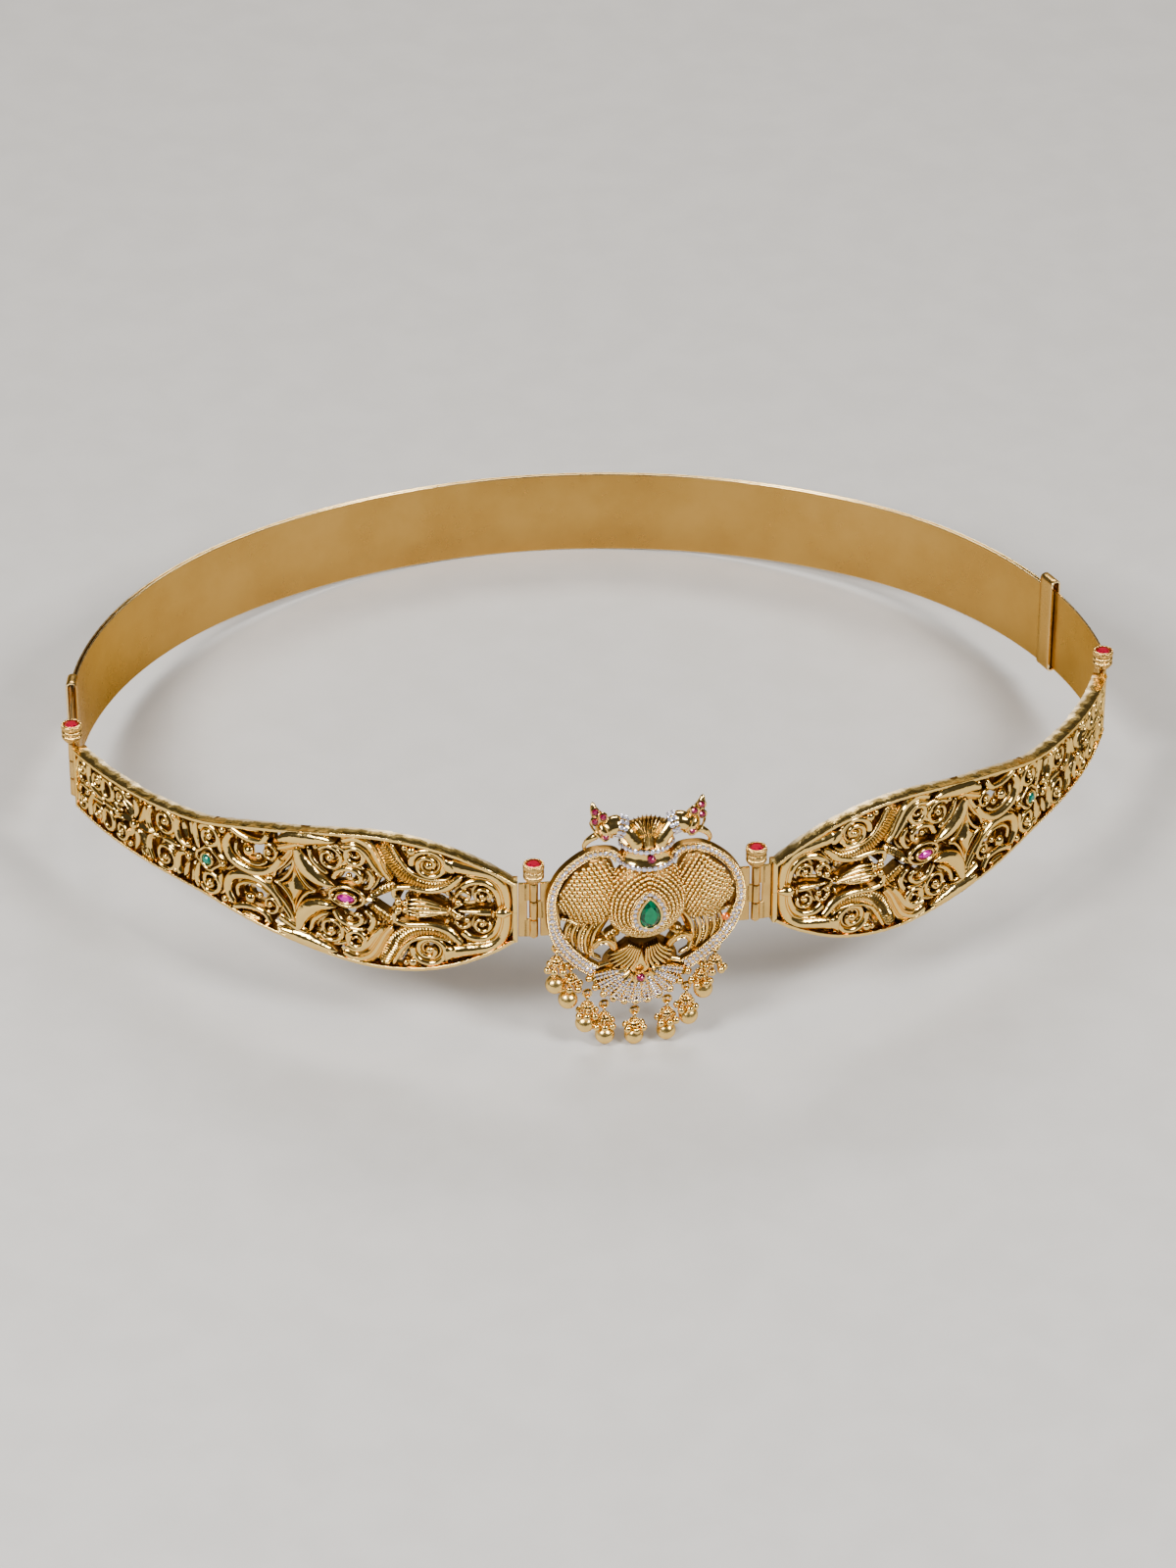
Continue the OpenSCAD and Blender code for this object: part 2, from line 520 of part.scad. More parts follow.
module pear_stone() { color(green) on_front(0, 1.4, 8.9) cut_stone(5.9, 8.8, 1.2, 1.4, 12, 1); }

module pear_halo() {
    color(white) for (q = halo(14, 4.9, 6.3)) white_stone(q[0], q[1], 8.6);
}

module collar_stones() {
    color(white) for (x = [-5:2:5]) {
        white_stone(x, 18.9, 6.5 - x * x * 0.06);
        white_stone(x, 14, 6.9 - x * x * 0.05);
    }
}

module neck_stones() {
    color(white) for (x = [-6.1, 6.1], z = [22.5:2:27.9]) white_stone(x, z, 6.4);
}

module wing_stones_left() { color(white) mirror([1, 0, 0]) let ($hand = -1) wing_stones(); }

module wing_stones_right() { color(white) wing_stones(); }

module tail_stones() {
    color(white) for (a = [-153:21:-27], r = [6.2:2.7:11]) if (a != -90 || r > 5)
        white_stone(r * cos(a), -19.4 + r * sin(a), 3);
}

module collar_ruby() { color(ruby) on_front(0, 16.2, 6.8) cut_stone(2.2, 2.2, 0.6, 0.4, 10); }

module skirt_ruby() { color(ruby) on_front(0, -20.4, 5.2) cut_stone(2.5, 2.5, 0.7, 0.4, 10); }

module orange_stone() { color(orange) on_front(21.4, -4.9, 3.3) cut_stone(2.4, 2.4, 0.5, 0.3, 10); }

module head_rubies_left() { color(ruby) mirror([1, 0, 0]) head_rubies(); }

module head_rubies_right() { color(ruby) head_rubies(); }

module drop_1() { color(gold) drop(0); }

module drop_2() { color(gold) drop(1); }

module drop_3() { color(gold) drop(2); }

module drop_4() { color(gold) drop(3); }

module drop_5() { color(gold) drop(4); }

module drop_6() { color(gold) drop(5); }

module drop_7() { color(gold) drop(6); }

module drop_8() { color(gold) drop(7); }

module drop_9() { color(gold) drop(8); }

module pin_front_left() { color(pale_gold) hinge_place(0) pin(); }

module pin_front_right() { color(pale_gold) hinge_place(1) pin(); }

module pin_back_left() { color(pale_gold) hinge_place(2) pin(); }

module pin_back_right() { color(pale_gold) hinge_place(3) pin(); }

module pin_ruby_front_left() { color(ruby) hinge_place(0) pin_ruby(); }

module pin_ruby_front_right() { color(ruby) hinge_place(1) pin_ruby(); }

module pin_ruby_back_left() { color(ruby) hinge_place(2) pin_ruby(); }

module pin_ruby_back_right() { color(ruby) hinge_place(3) pin_ruby(); }

// Carries its children to one of the four hinge axes.
module hinge_place(n) {
    q = [[-front_x, front_y], [front_x, front_y], [-back_x, back_y], [back_x, back_y]][n];
    translate([q[0], q[1], 0]) children();
}

// Leans the finished belt and stands it on its lowest drops and the rear of the bands.
module belt() {
    translate([0, stand_y, stand_z]) rotate([-lean, 0, 0]) children();
}

belt() band_inner();
belt() band_outer();
belt() panel_left();
belt() panel_right();
belt() leaf_left_front();
belt() leaf_left_back();
belt() leaf_right_front();
belt() leaf_right_back();
belt() marquise_left();
belt() marquise_right();
belt() green_stone_left();
belt() green_stone_right();
belt() pendant_setting();
belt() pendant_leaf_left();
belt() pendant_leaf_right();
belt() pear_stone();
belt() pear_halo();
belt() collar_stones();
belt() neck_stones();
belt() wing_stones_left();
belt() wing_stones_right();
belt() tail_stones();
belt() collar_ruby();
belt() skirt_ruby();
belt() orange_stone();
belt() head_rubies_left();
belt() head_rubies_right();
belt() drop_1();
belt() drop_2();
belt() drop_3();
belt() drop_4();
belt() drop_5();
belt() drop_6();
belt() drop_7();
belt() drop_8();
belt() drop_9();
belt() pin_front_left();
belt() pin_front_right();
belt() pin_back_left();
belt() pin_back_right();
belt() pin_ruby_front_left();
belt() pin_ruby_front_right();
belt() pin_ruby_back_left();
belt() pin_ruby_back_right();
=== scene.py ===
import math

import bmesh
import bpy
import numpy as np
from mathutils import Matrix, Vector


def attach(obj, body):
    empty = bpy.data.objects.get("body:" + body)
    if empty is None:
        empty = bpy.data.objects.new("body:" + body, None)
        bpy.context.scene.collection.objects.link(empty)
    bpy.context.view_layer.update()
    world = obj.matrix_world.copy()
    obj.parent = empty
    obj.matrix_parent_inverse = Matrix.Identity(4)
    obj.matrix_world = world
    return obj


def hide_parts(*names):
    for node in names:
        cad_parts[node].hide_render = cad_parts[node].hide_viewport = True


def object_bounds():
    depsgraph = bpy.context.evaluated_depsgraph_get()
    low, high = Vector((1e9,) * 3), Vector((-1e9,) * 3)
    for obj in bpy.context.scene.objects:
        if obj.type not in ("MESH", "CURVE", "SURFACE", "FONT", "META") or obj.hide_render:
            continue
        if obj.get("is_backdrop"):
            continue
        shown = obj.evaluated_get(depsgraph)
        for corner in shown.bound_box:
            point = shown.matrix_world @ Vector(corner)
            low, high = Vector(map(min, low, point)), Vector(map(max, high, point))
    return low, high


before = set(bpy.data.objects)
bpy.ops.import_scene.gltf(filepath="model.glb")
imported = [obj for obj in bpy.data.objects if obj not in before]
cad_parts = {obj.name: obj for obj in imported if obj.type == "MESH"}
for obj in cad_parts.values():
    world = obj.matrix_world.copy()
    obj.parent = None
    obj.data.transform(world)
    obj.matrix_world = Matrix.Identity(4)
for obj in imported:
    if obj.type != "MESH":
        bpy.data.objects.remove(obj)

solid_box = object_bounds()

# The belt's own frame: millimetres, the band's middle height at zero, the pendant facing -y.
LEAN = math.radians(7.68)
STAND_Y, STAND_Z = -24.59, 31.14
HINGE_X, HINGE_Y = 29.3, -82.0
BACK_HINGE_X, BACK_HINGE_Y = 143.3, 8.0
PANEL_RADIUS = 140.0
ASKEW = 0.085
SIDES = (("left", -1), ("right", 1))
PIN_PLACES = [(end + "_" + side, hand * x, y) for end, x, y in
              (("front", HINGE_X, HINGE_Y), ("back", BACK_HINGE_X, BACK_HINGE_Y)) for side, hand in SIDES]

chord = math.hypot(BACK_HINGE_X - HINGE_X, BACK_HINGE_Y - HINGE_Y)
reach = math.sqrt(PANEL_RADIUS ** 2 - (chord / 2) ** 2)
PANEL_X = -(HINGE_X + BACK_HINGE_X) / 2 + reach * (BACK_HINGE_Y - HINGE_Y) / chord
PANEL_Y = (HINGE_Y + BACK_HINGE_Y) / 2 + reach * (BACK_HINGE_X - HINGE_X) / chord
PANEL_START = math.atan2(HINGE_X + PANEL_X, PANEL_Y - HINGE_Y)


def stand(points):
    """Belt millimetres to metres of the standing belt."""
    x, y, z = np.asarray(points, float).T
    return np.stack([x, y * math.cos(LEAN) + z * math.sin(LEAN) + STAND_Y,
                     -y * math.sin(LEAN) + z * math.cos(LEAN) + STAND_Z], 1) / 1000


def on_panel(relief, hand):
    """Relief points (along from the front hinge, up, out) laid on the left (-1) or right (1) panel's arc."""
    s, z, r = np.asarray(relief, float).T
    a = PANEL_START + s / PANEL_RADIUS
    x = PANEL_X - (PANEL_RADIUS + r) * np.sin(a)
    y = PANEL_Y - (PANEL_RADIUS + r) * np.cos(a)
    return stand(np.stack([-hand * x, y, z], 1))


def on_pendant(relief, hand=1):
    """Relief points (across, up, out) laid on the pendant, whose lower half hangs a little askew."""
    x, z, r = np.asarray(relief, float).T
    return stand(np.stack([hand * x + ASKEW * np.minimum(z, 0), HINGE_Y - r, z], 1))


def at_hinge(points, x, y):
    """Points round a hinge axis, in millimetres."""
    return stand(np.asarray(points, float) + [x, y, 0])


# Shader fields

class Field:
    """A shader socket that can be reckoned with."""

    def __init__(self, finish, socket):
        self.finish, self.socket = finish, socket

    def reckon(self, operation, *others):
        node = self.finish.tree.nodes.new("ShaderNodeMath")
        node.operation = operation
        for socket, value in zip(node.inputs, (self,) + others):
            self.finish.feed(socket, value)
        return Field(self.finish, node.outputs[0])

    def __add__(self, other): return self.reckon("ADD", other)
    def __radd__(self, other): return self.reckon("ADD", other)
    def __sub__(self, other): return self.reckon("SUBTRACT", other)
    def __rsub__(self, other): return self.finish.number(other).reckon("SUBTRACT", self)
    def __mul__(self, other): return self.reckon("MULTIPLY", other)
    def __rmul__(self, other): return self.reckon("MULTIPLY", other)

    def between(self, low, high):
        """0 below low, 1 above high, smooth between."""
        return self.finish.node("ShaderNodeMapRange", {"interpolation_type": "SMOOTHSTEP"},
                                Value=self, **{"From Min": low, "From Max": high})


class Finish:
    """A node material for one finish."""

    def __init__(self, name):
        self.material = bpy.data.materials.new(name)
        self.material.use_nodes = True
        self.tree = self.material.node_tree
        self.tree.nodes.clear()

    def feed(self, socket, value):
        if isinstance(value, Field):
            self.tree.links.new(value.socket, socket)
        else:
            socket.default_value = value

    def number(self, value):
        """A plain number as a field."""
        node = self.tree.nodes.new("ShaderNodeValue")
        node.outputs[0].default_value = value
        return Field(self, node.outputs[0])

    def node(self, kind, settings=None, output=0, **inputs):
        node = self.tree.nodes.new(kind)
        for key, value in (settings or {}).items():
            setattr(node, key, value)
        for key, value in inputs.items():
            self.feed(node.inputs[key], value)
        return Field(self, node.outputs[output])

    def place(self):
        return self.node("ShaderNodeTexCoord", output="Object")

    def noise(self, place, scale, detail=3, roughness=0.55):
        return self.node("ShaderNodeTexNoise", Vector=place, Scale=scale, Detail=detail, Roughness=roughness)

    def attribute(self, name):
        return self.node("ShaderNodeAttribute", {"attribute_name": name}, output="Fac")

    def mix(self, factor, first, second):
        """A colour between two colours."""
        node = self.tree.nodes.new("ShaderNodeMix")
        node.data_type = "RGBA"
        self.feed(node.inputs[0], factor)
        for socket, value in ((node.inputs[6], first), (node.inputs[7], second)):
            self.feed(socket, value if isinstance(value, Field) else (*value, 1))
        return Field(self, node.outputs[2])

    def vector(self, operation, first, second, output="Vector"):
        node = self.tree.nodes.new("ShaderNodeVectorMath")
        node.operation = operation
        self.feed(node.inputs[0], first)
        self.feed(node.inputs[1], second)
        return Field(self, node.outputs[output])

    def scaled(self, place, factors):
        return self.vector("MULTIPLY", place, factors)

    def inward(self):
        """One on faces turned to the middle of the belt, zero elsewhere."""
        to_middle = self.scaled(self.place(), (-8, -8, 0))
        facing = self.node("ShaderNodeTexCoord", output="Normal")
        return self.vector("DOT_PRODUCT", to_middle, facing, "Value").between(0.5, 0.85)

    def bump(self, height, distance, strength=1.0, normal=None):
        inputs = {"Height": height, "Distance": distance, "Strength": strength}
        if normal:
            inputs["Normal"] = normal
        return self.node("ShaderNodeBump", **inputs)

    def surface(self, varying, **fixed):
        """Varying names take fields; fixed ones are set on the shader's own sockets."""
        shader = self.tree.nodes.new("ShaderNodeBsdfPrincipled")
        for name, value in fixed.items():
            shader.inputs[name.replace("_", " ")].default_value = value
        for name, value in varying.items():
            self.feed(shader.inputs[name], value)
        out = self.tree.nodes.new("ShaderNodeOutputMaterial")
        self.tree.links.new(shader.outputs[0], out.inputs[0])
        return self.material

    def gold(self, colour, rough, normal):
        """Plated gold, whose glancing reflections stay warm."""
        return self.surface({"Base Color": colour, "Roughness": rough, "Normal": normal},
                            Metallic=1.0, Specular_Tint=(0.92, 0.72, 0.42, 1))


# Finishes

def cast_gold():
    """Polished relief with painted shade and highlight: colour runs from a painted dark brown shade in the hollows to
    a painted bright gold on the crests. Tone is 0 in hollows and 1 on crests; 1.5 is satin, 1.8 is filed.
    """
    f = Finish("cast_gold")
    place = f.place()
    tone = f.attribute("tone")
    satin, filed = tone.between(1.2, 1.4), tone.between(1.5, 1.7)
    cloud = f.noise(place, 190, 3)
    swell = f.noise(place, 380, 2)
    grain = f.noise(place, 2600, 2)
    height = (tone + (cloud - 0.5) * 0.2).between(0.10, 0.66)
    # Painted shade and highlight: dark brown where the tone is low, bright gold where it is high.
    colour = f.mix(height, (0.19, 0.095, 0.022), (0.88, 0.60, 0.19))
    # Painted highlights: patches of paler gold on the crests.
    colour = f.mix(height * cloud.between(0.5, 0.75) * 0.5, colour, (0.92, 0.66, 0.25))
    colour = f.mix(filed * 0.8, colour, (0.95, 0.78, 0.50))
    back = f.inward()
    colour = f.mix(back, colour, f.mix(cloud.between(0.35, 0.65), (0.52, 0.30, 0.08), (0.70, 0.43, 0.13)))
    rough = 0.36 - height * (1 - back) * 0.23 + (grain - 0.5) * 0.08 + satin * 0.12 + filed * 0.18
    normal = f.bump(grain * 0.35 + cloud, 0.00012, 0.35, f.bump(swell, 0.0005, 0.35))
    return f.gold(colour, rough, normal)


def band_gold():
    """Satin plated sheet with a fine rolled grain and a few hairline scratches."""
    f = Finish("band_gold")
    run = f.node("ShaderNodeUVMap", {"uv_map": "run"})
    place = f.place()
    cloud = f.noise(place, 45, 4)
    mottle = f.noise(place, 420, 4, 0.65)
    grain = f.noise(f.scaled(run, (30, 2600, 1)), 1, 2)
    line = f.noise(f.scaled(run, (160, 900, 1)), 1, 2)
    scratch = (line.between(0.735, 0.75)) * cloud.between(0.5, 0.62)
    edge = f.attribute("edge")
    colour = f.mix(cloud.between(0.25, 0.75), (0.47, 0.26, 0.058), (0.56, 0.33, 0.082))
    # Painted highlight along the rolled edges of the sheet.
    colour = f.mix(edge, colour, (0.95, 0.70, 0.32))
    rough = 0.30 + (cloud - 0.5) * 0.12 + (mottle - 0.5) * 0.16 - edge * 0.14
    height = grain * 0.25 + mottle * 0.5 + scratch * 1.6
    normal = f.bump(height, 0.00006, 0.45, f.bump(cloud, 0.0012, 0.18))
    return f.gold(colour, rough, normal)


def hinge_gold():
    """Drawn sheet and turned pins, a warmer gold with fine file marks."""
    f = Finish("hinge_gold")
    place = f.place()
    cloud = f.noise(place, 260, 3)
    file_marks = f.noise(f.scaled(place, (900, 900, 9000)), 1, 2)
    tone = f.attribute("tone")
    colour = f.mix(cloud.between(0.3, 0.7), (0.50, 0.29, 0.07), (0.66, 0.41, 0.12))
    # Painted highlight: the higher the tone, the brighter the gold, so bevels and bead rings are painted brighter.
    colour = f.mix(tone * 0.6, colour, (0.92, 0.62, 0.22))
    rough = 0.27 - tone * 0.09 + (cloud - 0.5) * 0.1
    normal = f.bump(file_marks + cloud * 0.4, 0.00008, 0.3)
    return f.gold(colour, rough, normal)


def cut_stone_finish(name, dark, bright, metallic, rough, ior, clouding, coat):
    """A faceted stone: each facet is painted its own shade between dark and bright, as painted reflection, with a
    faint cloud inside.
    """
    f = Finish(name)
    facet = f.attribute("facet")
    cloud = f.noise(f.place(), 900, 2)
    # Painted reflection: each facet lighter or darker by its own value.
    depth = (facet * 0.6 + cloud * clouding - 0.3 * clouding + 0.1).between(0.12, 0.85)
    colour = f.mix(depth, dark, bright)
    return f.surface({"Base Color": colour, "Roughness": rough + (cloud - 0.5) * 0.03},
                     Metallic=metallic, IOR=ior, Coat_Weight=coat, Coat_Roughness=0.03)


def floor_finish():
    f = Finish("pale_floor")
    speck = f.noise(f.place(), 60, 4)
    colour = f.mix(speck.between(0.35, 0.65), (0.43, 0.41, 0.385), (0.45, 0.43, 0.405))
    return f.surface({"Base Color": colour, "Roughness": 0.75 + (speck - 0.5) * 0.1})


CAST = cast_gold()
BAND = band_gold()
HINGE = hinge_gold()
# Name, dark and bright colour that the facets are painted between as reflection, metallic, roughness, IOR, clouding
# and coat.
WHITE, RUBY, RED, GREEN, TEAL, PINK, ORANGE = (cut_stone_finish(*row) for row in (
    ("white_stone", (0.03, 0.03, 0.06), (0.74, 0.72, 0.86), 0.75, 0.05, 1.8, 2.2, 0.6),
    ("ruby", (0.03, 0.0, 0.01), (0.26, 0.002, 0.05), 0.4, 0.05, 1.5, 0.5, 0.5),
    ("pin_ruby", (0.13, 0.0, 0.01), (0.50, 0.004, 0.03), 0.3, 0.06, 1.5, 0.5, 0.5),
    ("green_stone", (0.0, 0.012, 0.006), (0.0, 0.20, 0.08), 0.5, 0.04, 1.45, 0.5, 0.25),
    ("small_green_stone", (0.0, 0.03, 0.022), (0.0, 0.24, 0.16), 0.45, 0.05, 1.45, 0.6, 0.25),
    ("pink_stone", (0.16, 0.0, 0.11), (0.60, 0.01, 0.38), 0.45, 0.05, 1.45, 0.6, 0.25),
    ("orange_stone", (0.30, 0.04, 0.0), (0.72, 0.15, 0.01), 0.3, 0.1, 1.45, 0.5, 0.25)))


# Shells in relief space

def mirrored(*half):
    """A section (across, height) from its left half; a point on the middle line comes once."""
    return [*half, *((-x, h) for x, h in reversed(half) if x)]


ROUND = mirrored((-1, 0), (-1, .14), (-.93, .38), (-.77, .65), (-.5, .87), (-.2, .98))
FLAT = mirrored((-1, 0), (-1, .82), (-.93, .93), (-.8, .985), (-.4, 1))
TWIN = mirrored((-1, 0), (-1, .5), (-.9, .76), (-.66, .97), (-.4, .95), (-.16, .74), (0, .68))
TRIPLE = mirrored((-1, 0), (-1, .5), (-.9, .76), (-.72, .86), (-.5, .68), (-.42, .7), (-.24, .96), (0, 1))
KEEL = mirrored((-1, 0), (-1, .3), (-.85, .5), (-.55, .66), (-.2, .82), (0, 1))
BED = mirrored((-1, 0), (-1, .6), (-.8, 1))
SPOON = mirrored((-1, 0), (-1, .62), (-.9, .93), (-.76, 1), (-.58, .9), (-.3, .66), (0, .58))


def turns(count):
    """Even angles of one turn."""
    return np.linspace(0, 2 * np.pi, count, endpoint=False)


def pair(value):
    """A lone number stands for a first and a last one."""
    return value if isinstance(value, (list, tuple)) else (value, value)


def walked(path):
    """The way walked up to each point of a path."""
    return np.concatenate([[0], np.cumsum(np.linalg.norm(np.diff(path, axis=0), axis=1))])


def heading(path):
    """Unit direction of a path at each of its points."""
    way = np.gradient(path, axis=0)
    return way / np.linalg.norm(way, axis=1)[:, None]


def oval(x, z, wide, tall, count, pinch=0.0, ripple=(0.0, 0.0)):
    """Points of an oval, pinched towards its ends and rippled four times round."""
    return [(x + wide * math.cos(v) * (1 + ripple[0] * math.cos(4 * v)),
             z + tall * math.sin(v) * (1 - pinch * abs(math.cos(v)) ** 3) * (1 + ripple[1] * math.cos(4 * v)))
            for v in turns(count)]


def curve(points, step):
    """A smooth path through the points, sampled about every step, and its length."""
    p = np.asarray(points, float)
    if len(p) == 2:
        fine = p[0] + np.linspace(0, 1, 30)[:, None] * (p[1] - p[0])
    else:
        ends = np.vstack([2 * p[0] - p[1], p, 2 * p[-1] - p[-2]])
        t = np.linspace(0, 1, 12, endpoint=False)[:, None]
        rows = [0.5 * (2 * b + (c - a) * t + (2 * a - 5 * b + 4 * c - d) * t ** 2 + (3 * b - a - 3 * c + d) * t ** 3)
                for a, b, c, d in zip(ends, ends[1:], ends[2:], ends[3:])]
        fine = np.vstack(rows + [p[-1:]])
    way = walked(fine[:, :2])
    stops = np.linspace(0, way[-1], max(int(way[-1] / step), 3) + 1)
    return np.stack([np.interp(stops, way, fine[:, k]) for k in range(fine.shape[1])], 1), way[-1]


def coil(x, z, outer, inner, start, turn, tall=1.0):
    """Points of a scroll from its outer end to its eye."""
    t = np.linspace(0, 1, max(int(abs(turn) / 30), 8))
    r = outer + (inner - outer) * t ** 1.6
    a = np.radians(start + turn * t)
    return np.stack([x + r * np.cos(a), z + tall * r * np.sin(a)], 1)


def rounded(q):
    """How full a round end is at a share q of its radius."""
    return np.sqrt(np.clip(1 - (1 - np.clip(q, 0, 1)) ** 2, 0.02, 1))


def tips(way, length, first, last, start, end):
    """How full a band is along its way, with round, pointed or cut ends."""
    full = np.ones_like(way)
    for kind, half, gone in ((start, first, way), (end, last, length - way)):
        if kind == "round":
            full *= rounded(gone / max(half, 1e-3))
        elif kind == "point":
            full *= np.clip(gone / max(half * 4, 1e-3), 0.03, 1) ** 0.7
    return full


def strip(a, b, count):
    """Faces between two rings of count points whose first points are a and b."""
    return [[a + k, a + (k + 1) % count, b + (k + 1) % count, b + k] for k in range(count)]


REAR = -2.0


class Relief:
    """Closed shells in relief space: along, up and out, in millimetres, with a tone from hollow to crest that sets
    their painted shade and highlight.

    fat widens every band and bead; bed lays a low, wider band under each one, painted dark as the shade in the
    openings."""

    def __init__(self, fat=1.0, bed=0.0):
        self.points, self.tones, self.faces, self.count, self.fat, self.bed = [], [], [], 0, fat, bed

    def add(self, points, faces, tones):
        self.points.append(np.asarray(points, float))
        self.tones.append(np.asarray(tones, float))
        self.faces.extend([[self.count + i for i in face] for face in faces])
        self.count += len(points)

    def rings(self, rings, tones, closed=False):
        """A tube over rings of equal length."""
        rings = np.asarray(rings, float)
        n, m = rings.shape[:2]
        faces = []
        for i in range(n if closed else n - 1):
            faces += strip(i * m, ((i + 1) % n) * m, m)
        if not closed:
            faces += [list(range(m - 1, -1, -1)), [(n - 1) * m + k for k in range(m)]]
        self.add(rings.reshape(-1, 3), faces, np.broadcast_to(tones, (n, m)).reshape(-1))

    def band(self, path, width, top=2.0, foot=REAR, shape=ROUND, ribs=None, start="round", end="round", step=0.55,
             closed=False, lift=None):
        """A raised band on a flat path. Width and top may take several values; ribs are (pitch, depth, slant)."""
        if self.bed and not ribs:
            grow, self.bed = self.bed, 0
            self.band(path, [w + grow for w in pair(width)], -0.35, foot, BED, step=0.9, closed=closed,
                      lift=lambda s, z: 0.3 * math.sin(1.7 * s + z) * math.sin(1.3 * z - 0.8 * s))
            self.bed = grow
            ground = self.points[-1]
            ground[:, 0] = np.clip(ground[:, 0], *PANEL_RUN)
            ground[:, 1] = within_outline(ground, 0.8)
        points = np.asarray(path, float)
        if closed:
            points = np.vstack([points, points[:1]])
        if ribs:
            step = min(step, ribs[0] / 5)
        p, length = curve(points, step)
        if closed:
            p = p[:-1]
        n = len(p)
        way = np.linspace(0, length, n, endpoint=not closed)
        widths, tops = (np.interp(way / length, np.linspace(0, 1, len(v)), v) for v in (pair(width), pair(top)))
        after, before = (np.roll(p, -1, 0), np.roll(p, 1, 0)) if closed else (np.vstack([p[1:], p[-1:]]),
                np.vstack([p[:1], p[:-1]]))
        run = after - before
        run = run[:, :2] / np.maximum(np.linalg.norm(run[:, :2], axis=1), 1e-9)[:, None]
        full = np.ones(n) if closed else tips(way, length, widths[0] / 2, widths[-1] / 2, start, end)
        u, h = np.array(shape).T
        half = (widths * self.fat / 2 * full)[:, None] * u
        base = np.maximum(foot, tops - np.clip(0.62 * widths * self.fat, 0.6, 2.4))[:, None]
        high = np.where(h > 0, base + (tops[:, None] - base) * (0.35 + 0.65 * full)[:, None] * h, foot)
        # Painted shade and highlight: tone rises from the foot of each band to its crest, so walls are painted dark
        # and tops bright; beds are painted darker still.
        tone = np.repeat(h[None], n, 0) * (0.4 + 0.6 * full)[:, None] * (0.42 if shape is BED else 1)
        if ribs:
            pitch, deep, slant = ribs
            crest = np.clip((h - 0.45) / 0.4, 0, 1)
            wave = np.cos(2 * np.pi * (way[:, None] / pitch + slant * np.abs(u)))
            high -= deep * (0.5 - 0.5 * wave) * crest
            # Painted shade in the grooves between the ribs.
            tone = tone * (1 - 0.8 * (0.5 - 0.5 * wave) * crest)
        if lift is not None:
            high += np.array([lift(a, b) for a, b in p[:, :2]])[:, None]
        rings = np.stack([p[:, :1] - run[:, 1:] * half, p[:, 1:2] + run[:, :1] * half, high], 2)
        if self.bed:
            rings[:, :, 1] = within_outline(rings, 0.3)
        self.rings(rings, tone, closed)

    def petal(self, path, width, top=2.0, shape=KEEL):
        """A leaf: widest a third of the way along, pointed at its far end."""
        self.band(path, [w * width for w in (0.25, 0.8, 1, 0.86, 0.6, 0.2)], top, shape=shape, end="point")

    def scroll(self, x, z, outer, inner, start, turn, width, top=2.0, tall=1.0):
        """A coiled band with a bead in its eye."""
        path = coil(x, z, outer, inner, start, turn, tall)
        self.band(path, (width, width * 0.62), (top, top * 0.92), step=0.5)
        self.ball((x, z), max(inner * 0.95, 0.55), top * 0.62)

    def ball(self, centre, radius, out, around=12, rows=8, squash=1.0):
        """A round bead with its middle at height out."""
        radius = radius * (0.1 + 0.9 * self.fat)
        (x, z), high = centre, radius * squash
        a = turns(around)
        b = np.linspace(-np.pi / 2, np.pi / 2, rows + 1)[1:-1]
        ring = np.stack([np.stack([x + radius * np.cos(v) * np.cos(a), z + radius * np.cos(v) * np.sin(a),
                                   np.full_like(a, out + high * math.sin(v))], 1) for v in b])
        n = len(b)
        points = np.vstack([ring.reshape(-1, 3), [[x, z, out - high], [x, z, out + high]]])
        faces = [face for i in range(n - 1) for face in strip(i * around, (i + 1) * around, around)]
        faces += [[n * around, (k + 1) % around, k] for k in range(around)]
        faces += [[(n - 1) * around + k, (n - 1) * around + (k + 1) % around, n * around + 1] for k in range(around)]
        # Painted shade and highlight: each bead is painted darker underneath and brighter on top.
        tone = np.concatenate([np.repeat(0.5 + 0.5 * np.sin(b), around) * 0.6 + 0.4, [0.4, 1]])
        self.add(points, faces, tone)

    def dome(self, outline, centre, foot, rim, top, power=0.5, rings=7, tone=(0.35, 0.75), height=None):
        """A swelling over a flat outline, closed underneath."""
        o = np.asarray(outline, float)
        c = np.asarray(centre, float)
        n = len(o)
        rows, tones = [np.column_stack([o, np.full(n, foot)])], [np.full(n, 0.05)]
        for q in np.sin(np.linspace(np.pi / 2, 0, rings + 1))[:-1]:
            flat = c + (o - c) * q
            out = np.array([height(x, z) for x, z in flat]) if height else np.full(n,
                    rim + (top - rim) * (1 - q ** 2) ** power)
            rows.append(np.column_stack([flat, out]))
            # Painted shade and highlight: tone runs from the rim to the top; low tones paint a shell as dark shade.
            tones.append(np.full(n, tone[0] + (tone[1] - tone[0]) * (1 - q)))
        peak = height(*c) if height else top
        points = np.vstack(rows + [[[c[0], c[1], foot], [c[0], c[1], peak]]])
        faces = [face for i in range(len(rows) - 1) for face in strip(i * n, (i + 1) * n, n)]
        last = (len(rows) - 1) * n
        faces += [[(k + 1) % n, k, last + n] for k in range(n)]
        faces += [[last + k, last + (k + 1) % n, last + n + 1] for k in range(n)]
        self.add(points, faces, np.concatenate(tones + [[0.05, tone[1]]]))

    def reflected(self):
        """The same shells with up turned to down."""
        other = Relief()
        for points, tones in zip(self.points, self.tones):
            other.points.append(points * [1, -1, 1])
            other.tones.append(tones)
        other.faces, other.count = [face[::-1] for face in self.faces], self.count
        return other

